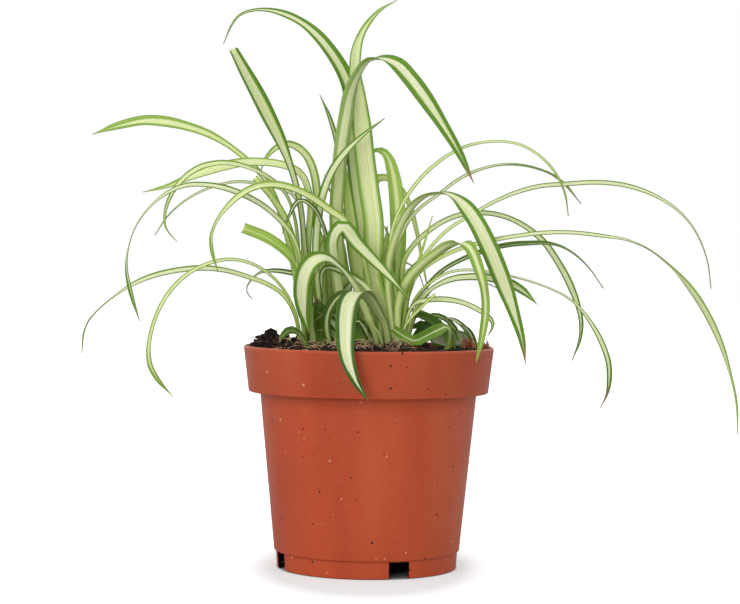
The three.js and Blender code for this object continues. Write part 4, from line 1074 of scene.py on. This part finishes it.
@dataclass
class DryTuft:
    """The small clump at the right of the rim: green leaves on a dry brown crown with brown fibres."""

    hairs: int = 120
    strands: int = 46
    seed: int = 3
    first_blade_seed: int = 70
    crown: Place = (53.0, -3.0, 103.6)
    # Each dry base: its lean, height and thickness, and its taper from foot to tip.
    lean: float = 0.28
    lean_left: float = 0.25
    high_mm: Pair = (3, 8)
    thick_mm: Pair = (0.35, 0.7)
    taper: Place = (1.0, 0.8, 0.25)
    blades: tuple[RouteBlade, ...] = (
        RouteBlade("tuft_upper", 0.3, Tone.DARK, low_band=0.2, width=3.2, facing=35,
                   route=((51, 105, 1), (48.5, 111, 1.5), (43, 117.4, 2), (38, 119.6, 2), (33.6, 118.6, 2))),
        RouteBlade("tuft_middle", 0.15, Tone.DARK, low_band=0.1, width=3.4, facing=40,
                   route=((51.5, 105, -3), (49.5, 110.5, -3), (46, 115.4, -4), (42, 117.4, -4))),
        RouteBlade("tuft_lower", 0.9, Tone.GREEN, cut=True, width=8, facing=82,
                   route=((50.5, 108, 4), (44, 110, 6), (37, 109.8, 7), (30, 108.6, 7))),
    )

    def build(self, earth: Earth, leaf: Material) -> None:
        """Makes the blades, the crown and its fibres.

        Args:
            earth: the soil, which makes the threads.
            leaf: the leaf finish.
        """
        rng = np.random.default_rng(self.seed)
        # Dead leaf bases: papery and rust brown.
        dry = EarthFinish("dry_leaf_base", "#5E2C1C", "#B06A48", 0.8, 2.4).make()
        # Painted shade: the lying leaf shows its paler underside, painted in dull grey greens for the shade
        # it lies in.
        shaded_lying = LeafFinish("shaded_lying_leaf", cream="#B4B79A", low_cream="#A6AA88", stripe="#989E7C",
                          margin="#5F6E3E", light_margin="#6F7C4B", base="#A3A487").make()
        for number, blade in enumerate(self.blades):
            blade.seed, blade.record_slot = self.first_blade_seed + number, "leaf_dry"
            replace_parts(blade.build(shaded_lying if blade.cut else leaf), "dry_tuft")
        centre = np.array(self.crown) * MM
        # Of each five bases, three stand left of the hanging leaf and two by the rim.
        start = centre + rng.normal(0, 1.0, (self.strands, 3)) * MM * [1, 1, 0.3]
        start[:, 0] += np.where(np.arange(self.strands) % 5 < 3, -4.2, 2.6) * MM
        self.bases("tuft_crown", start, rng, dry)
        spread = centre + rng.normal(0, 1.0, (self.hairs, 3)) * MM * [2.2, 1.3, 0.4]
        earth.threads("dry_hairs", spread, rng, dry, length=(2, 5.2), radius=(0.1, 0.2), rise=0.9)

    def bases(self, name: str, start: Array, rng: Rng, material: Material) -> None:
        """Makes one piece of dry upright leaf bases that fan out from the crown.

        Each is a tapered four-sided spike that leans outwards.

        Args:
            name: the piece's name.
            start: n by 3 feet.
            rng: the seeded generator.
            material: its finish.
        """
        count, rows, sides = len(start), 3, 4
        lean = rng.normal(0, self.lean, (count, 2))
        high = rng.uniform(*self.high_mm, count) * MM
        up = np.stack([lean[:, 0] - self.lean_left, lean[:, 1], np.ones(count)], -1)
        line = start[:, None] + up[:, None] * (high[:, None] * np.linspace(0, 1, rows))[..., None]
        angle = 2 * np.pi * np.arange(sides) / sides
        thick = rng.uniform(*self.thick_mm, count)[:, None] * np.array(self.taper) * MM
        ring = np.stack([np.cos(angle), np.sin(angle), angle * 0], -1)
        points = line[:, :, None] + ring * thick[..., None, None]
        faces = np.concatenate([grid_faces(rows, sides), [[3, 2, 1, 0]], [[8, 9, 10, 11]]])
        make_copies(name, points, faces, rng.random(count), material)


@dataclass
class Pot:
    """The nursery pot, turned finely over its CAD solid: rolled lip, deep collar, foot ring and notches."""

    finish: PotFinish = field(default_factory=PotFinish)
    sides: int = 192
    crease: float = math.radians(30)
    notch_start: float = math.radians(20.5 - 90)
    notches: int = 4
    corner_steps: int = 5

    @staticmethod
    def section() -> Array:
        """The wall's closed section, in mm, from the floor's middle outwards and back.

        Returns:
            Radius and height of each corner, with the radius of its rounding, n by 3.
        """
        return np.array([
            [25.5, 0, 0.3], [27.1, 5.4, 0.6], [41.7, 5.4, 0.3], [41.9, 0, 0.15], [43.1, 0, 0.4],
            [43.6, 8.0, 0.3], [44.5, 8.4, 0.5], [52, 84, 1.0], [57, 84.1, 0.2], [57.5, 84.4, 0.25],
            [60, 105.1, 0.5], [59.6, 106, 0.5], [58.9, 106, 0.3], [58.8, 105.6, 0.3], [56.3, 85.6, 0.8],
            [50.8, 85.2, 0.8], [43.3, 8.4, 0.6], [42.2, 6.8, 0.4], [25.7, 6.8, 0.6], [24.1, 1.4, 0.3]])

    def rounded(self) -> Array:
        """Rounds the section's corners, each as a quadratic curve with its corner as the handle.

        Returns:
            Points, n by 2, in metres.
        """
        corners = self.section()
        points = []
        for before, corner, after in zip(np.roll(corners, 1, 0), corners, np.roll(corners, -1, 0)):
            here = corner[:2]
            ends = []
            for other in (before, after):
                edge = other[:2] - here
                reach = np.linalg.norm(edge)
                ends.append(here + edge / reach * min(corner[2], 0.45 * reach))
            for t in np.linspace(0, 1, self.corner_steps):
                points.append((1 - t)**2 * ends[0] + 2 * t * (1 - t) * here + t**2 * ends[1])
        return np.array(points) * MM

    def turned(self) -> tuple[Array, list[list[int]]]:
        """Turns the section about +Z and closes the floor with a disc on each side.

        Returns:
            Points and faces.
        """
        section = self.rounded()
        angle = 2 * np.pi * np.arange(self.sides) / self.sides
        rings = np.stack([section[:, :1] * np.cos(angle), section[:, :1] * np.sin(angle),
                          np.repeat(section[:, 1:], self.sides, axis=1)], -1)
        faces = grid_faces(len(section), self.sides)[:, ::-1].tolist()
        last = (len(section) - 1) * self.sides
        faces.append(list(range(self.sides))[::-1])
        faces.append(list(range(last, last + self.sides)))
        return rings.reshape(-1, 3), faces

    def notch(self, index: int) -> bpy.types.Object:
        """Makes the block that cuts one drain notch.

        Args:
            index: which notch.

        Returns:
            The block, for a boolean cut.
        """
        corners = np.array([[x, y, z] for x in (38, 49) for y in (-5, 5) for z in (-2, 8)]) * MM
        faces = [(0, 1, 3, 2), (4, 6, 7, 5), (0, 4, 5, 1), (2, 3, 7, 6), (0, 2, 6, 4), (1, 5, 7, 3)]
        name = f"notch_{index}"
        block = new_object(name, new_mesh(name, corners, faces))
        block.rotation_euler = (0, 0, self.notch_start + 2 * math.pi * index / self.notches)
        return block

    def build(self) -> None:
        """Makes the pot, cuts its notches and sets it in place of the CAD pot."""
        piece = new_object("pot_shell", new_mesh("pot_shell", *self.turned()))
        blocks = [self.notch(i) for i in range(self.notches)]
        for block in blocks:
            cut = piece.modifiers.new(block.name, "BOOLEAN")
            cut.operation = "DIFFERENCE"
            cut.solver = "EXACT"
            cut.object = block
        bpy.context.view_layer.update()
        shape = piece.evaluated_get(bpy.context.evaluated_depsgraph_get())
        done = bpy.data.meshes.new_from_object(shape)
        piece.modifiers.clear()
        piece.data = done
        for block in blocks:
            bpy.data.objects.remove(block)
        done.materials.append(self.finish.make())
        done.shade_smooth()
        done.set_sharp_from_angle(angle=self.crease)
        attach(piece, "root")
        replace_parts(piece, "pot")
        log.info("%s: %d faces", piece.name, len(done.polygons))


@dataclass
class Studio:
    """A pale floor, soft lights and the camera at the photograph's viewing angle.

    The floor glows for the camera alone, so it comes out as the photograph's plain white. The glow fades
    towards the pot over fade_m, from table_glow to pot_glow, as a painted shadow round the pot, and ends
    under it over clear_m, so the pot's cast shade on the table stays. squeeze makes the painted shadow reach
    further to the front than to the sides.
    """

    camera_place: Place = (0.0, -1.0, 0.15)
    pitch_down: float = math.radians(1.31)
    roll: float = math.radians(-0.67)
    focal_px: float = 2082.0
    picture_px: float = 740.0
    sensor_mm: float = 36.0
    # Each light: its name, place, side in metres and watts.
    lights: tuple[tuple[str, Place, float, float], ...] = (
        ("key", (-0.8, -1.2, 1.1), 0.6, 5.5),
        ("fill", (1.2, -0.9, 0.7), 1.1, 0.8),
        ("front", (-0.5, -1.6, 0.4), 0.7, 7.4),
        ("back", (0.2, 1.4, 1.2), 1.2, 3),
    )
    aim: Place = (0.0, 0.0, 0.12)
    soft_light: float = 0.85
    floor_half: float = 6.0
    floor_drop: float = 0.0002
    floor_grey: float = 0.4
    table_glow: float = 0.95
    pot_glow: float = 0.46
    fade_m: Pair = (0.046, 0.068)
    clear_m: Pair = (0.042, 0.044)
    squeeze: float = 0.56

    def camera(self) -> None:
        """Makes the camera and gives it to the scene."""
        data = bpy.data.cameras.new("photo_camera")
        data.sensor_width = self.sensor_mm
        data.lens = self.focal_px / self.picture_px * self.sensor_mm
        data.clip_end = 20
        camera = new_object("photo_camera", data)
        camera.rotation_mode = "XYZ"
        camera.location = self.camera_place
        camera.rotation_euler = (math.pi / 2 - self.pitch_down, self.roll, 0.0)
        bpy.context.scene.camera = camera

    def light(self, name: str, place: Place, size: float, power: float) -> None:
        """Adds a square soft light that points at the plant.

        Args:
            name: the light's name.
            place: where it stands.
            size: side of the square in metres.
            power: watts.
        """
        data = bpy.data.lights.new(name, "AREA")
        data.shape = "SQUARE"
        data.size = size
        data.energy = power
        lamp = new_object(name, data)
        lamp.location = place
        aim = np.array(self.aim) - np.array(place)
        flat = math.hypot(aim[0], aim[1])
        lamp.rotation_euler = (math.atan2(flat, -aim[2]), 0.0, math.atan2(aim[1], aim[0]) - math.pi / 2)

    def sheet(self) -> Material:
        """The floor's finish: matt white paper, lit from below for the camera.

        Returns:
            The material.
        """
        tree = Shading("light_table", Base_Color=grey(self.floor_grey), Roughness=0.9, Specular_IOR_Level=0.0,
                       Emission_Color=grey(1.0))
        seen = tree.add("LightPath").outputs["Is Camera Ray"]
        place = tree.place()
        # Painted shadow: the glow dims in a ring round the pot, reaching further to the front.
        away = tree.length(tree.scaled(place, (1.0, self.squeeze, 1.0)))
        level = tree.mapped(away, *self.fade_m, (self.pot_glow, self.table_glow))
        clear = tree.mapped(tree.length(place), *self.clear_m)
        glow = tree.math("MULTIPLY", tree.math("MULTIPLY", seen, level), clear)
        tree.feed(Emission_Strength=glow)
        return tree.material

    def world(self) -> bpy.types.World:
        """A sky that is seen as white, while less light than that reaches the plant.

        Returns:
            The world.
        """
        world = bpy.data.worlds.new("studio")
        world.use_nodes = True
        nodes, links = world.node_tree.nodes, world.node_tree.links
        white, cast = nodes["Background"], nodes.new("ShaderNodeBackground")
        for background, strength in ((white, 1.0), (cast, self.soft_light)):
            background.inputs["Color"].default_value = grey(1.0)
            background.inputs["Strength"].default_value = strength
        choice, ray = nodes.new("ShaderNodeMixShader"), nodes.new("ShaderNodeLightPath")
        links.new(ray.outputs["Is Camera Ray"], choice.inputs[0])
        links.new(cast.outputs[0], choice.inputs[1])
        links.new(white.outputs[0], choice.inputs[2])
        links.new(choice.outputs[0], nodes["World Output"].inputs["Surface"])
        return world

    def build(self) -> None:
        """Makes the floor, the lights, the world and the camera."""
        half = self.floor_half
        corners = [(-half, -half, 0), (half, -half, 0), (half, half, 0), (-half, half, 0)]
        mesh = new_mesh("floor", corners, [(0, 1, 2, 3)])
        mesh.materials.append(self.sheet())
        floor = new_object("floor", mesh)
        floor.location = (0, 0, -self.floor_drop)
        bpy.context.scene.world = self.world()
        bpy.context.scene.view_settings.view_transform = "Standard"
        for light in self.lights:
            self.light(*light)
        self.camera()


def main() -> None:
    """Builds the studio and the plant in order."""
    logging.basicConfig(level=logging.INFO, format="%(name)s %(message)s")
    Studio().build()
    Pot().build()
    earth = Earth()
    earth.build()
    leaf = Foliage().build()
    DryTuft().build(earth, leaf)


if __name__ == "__main__":
    main()
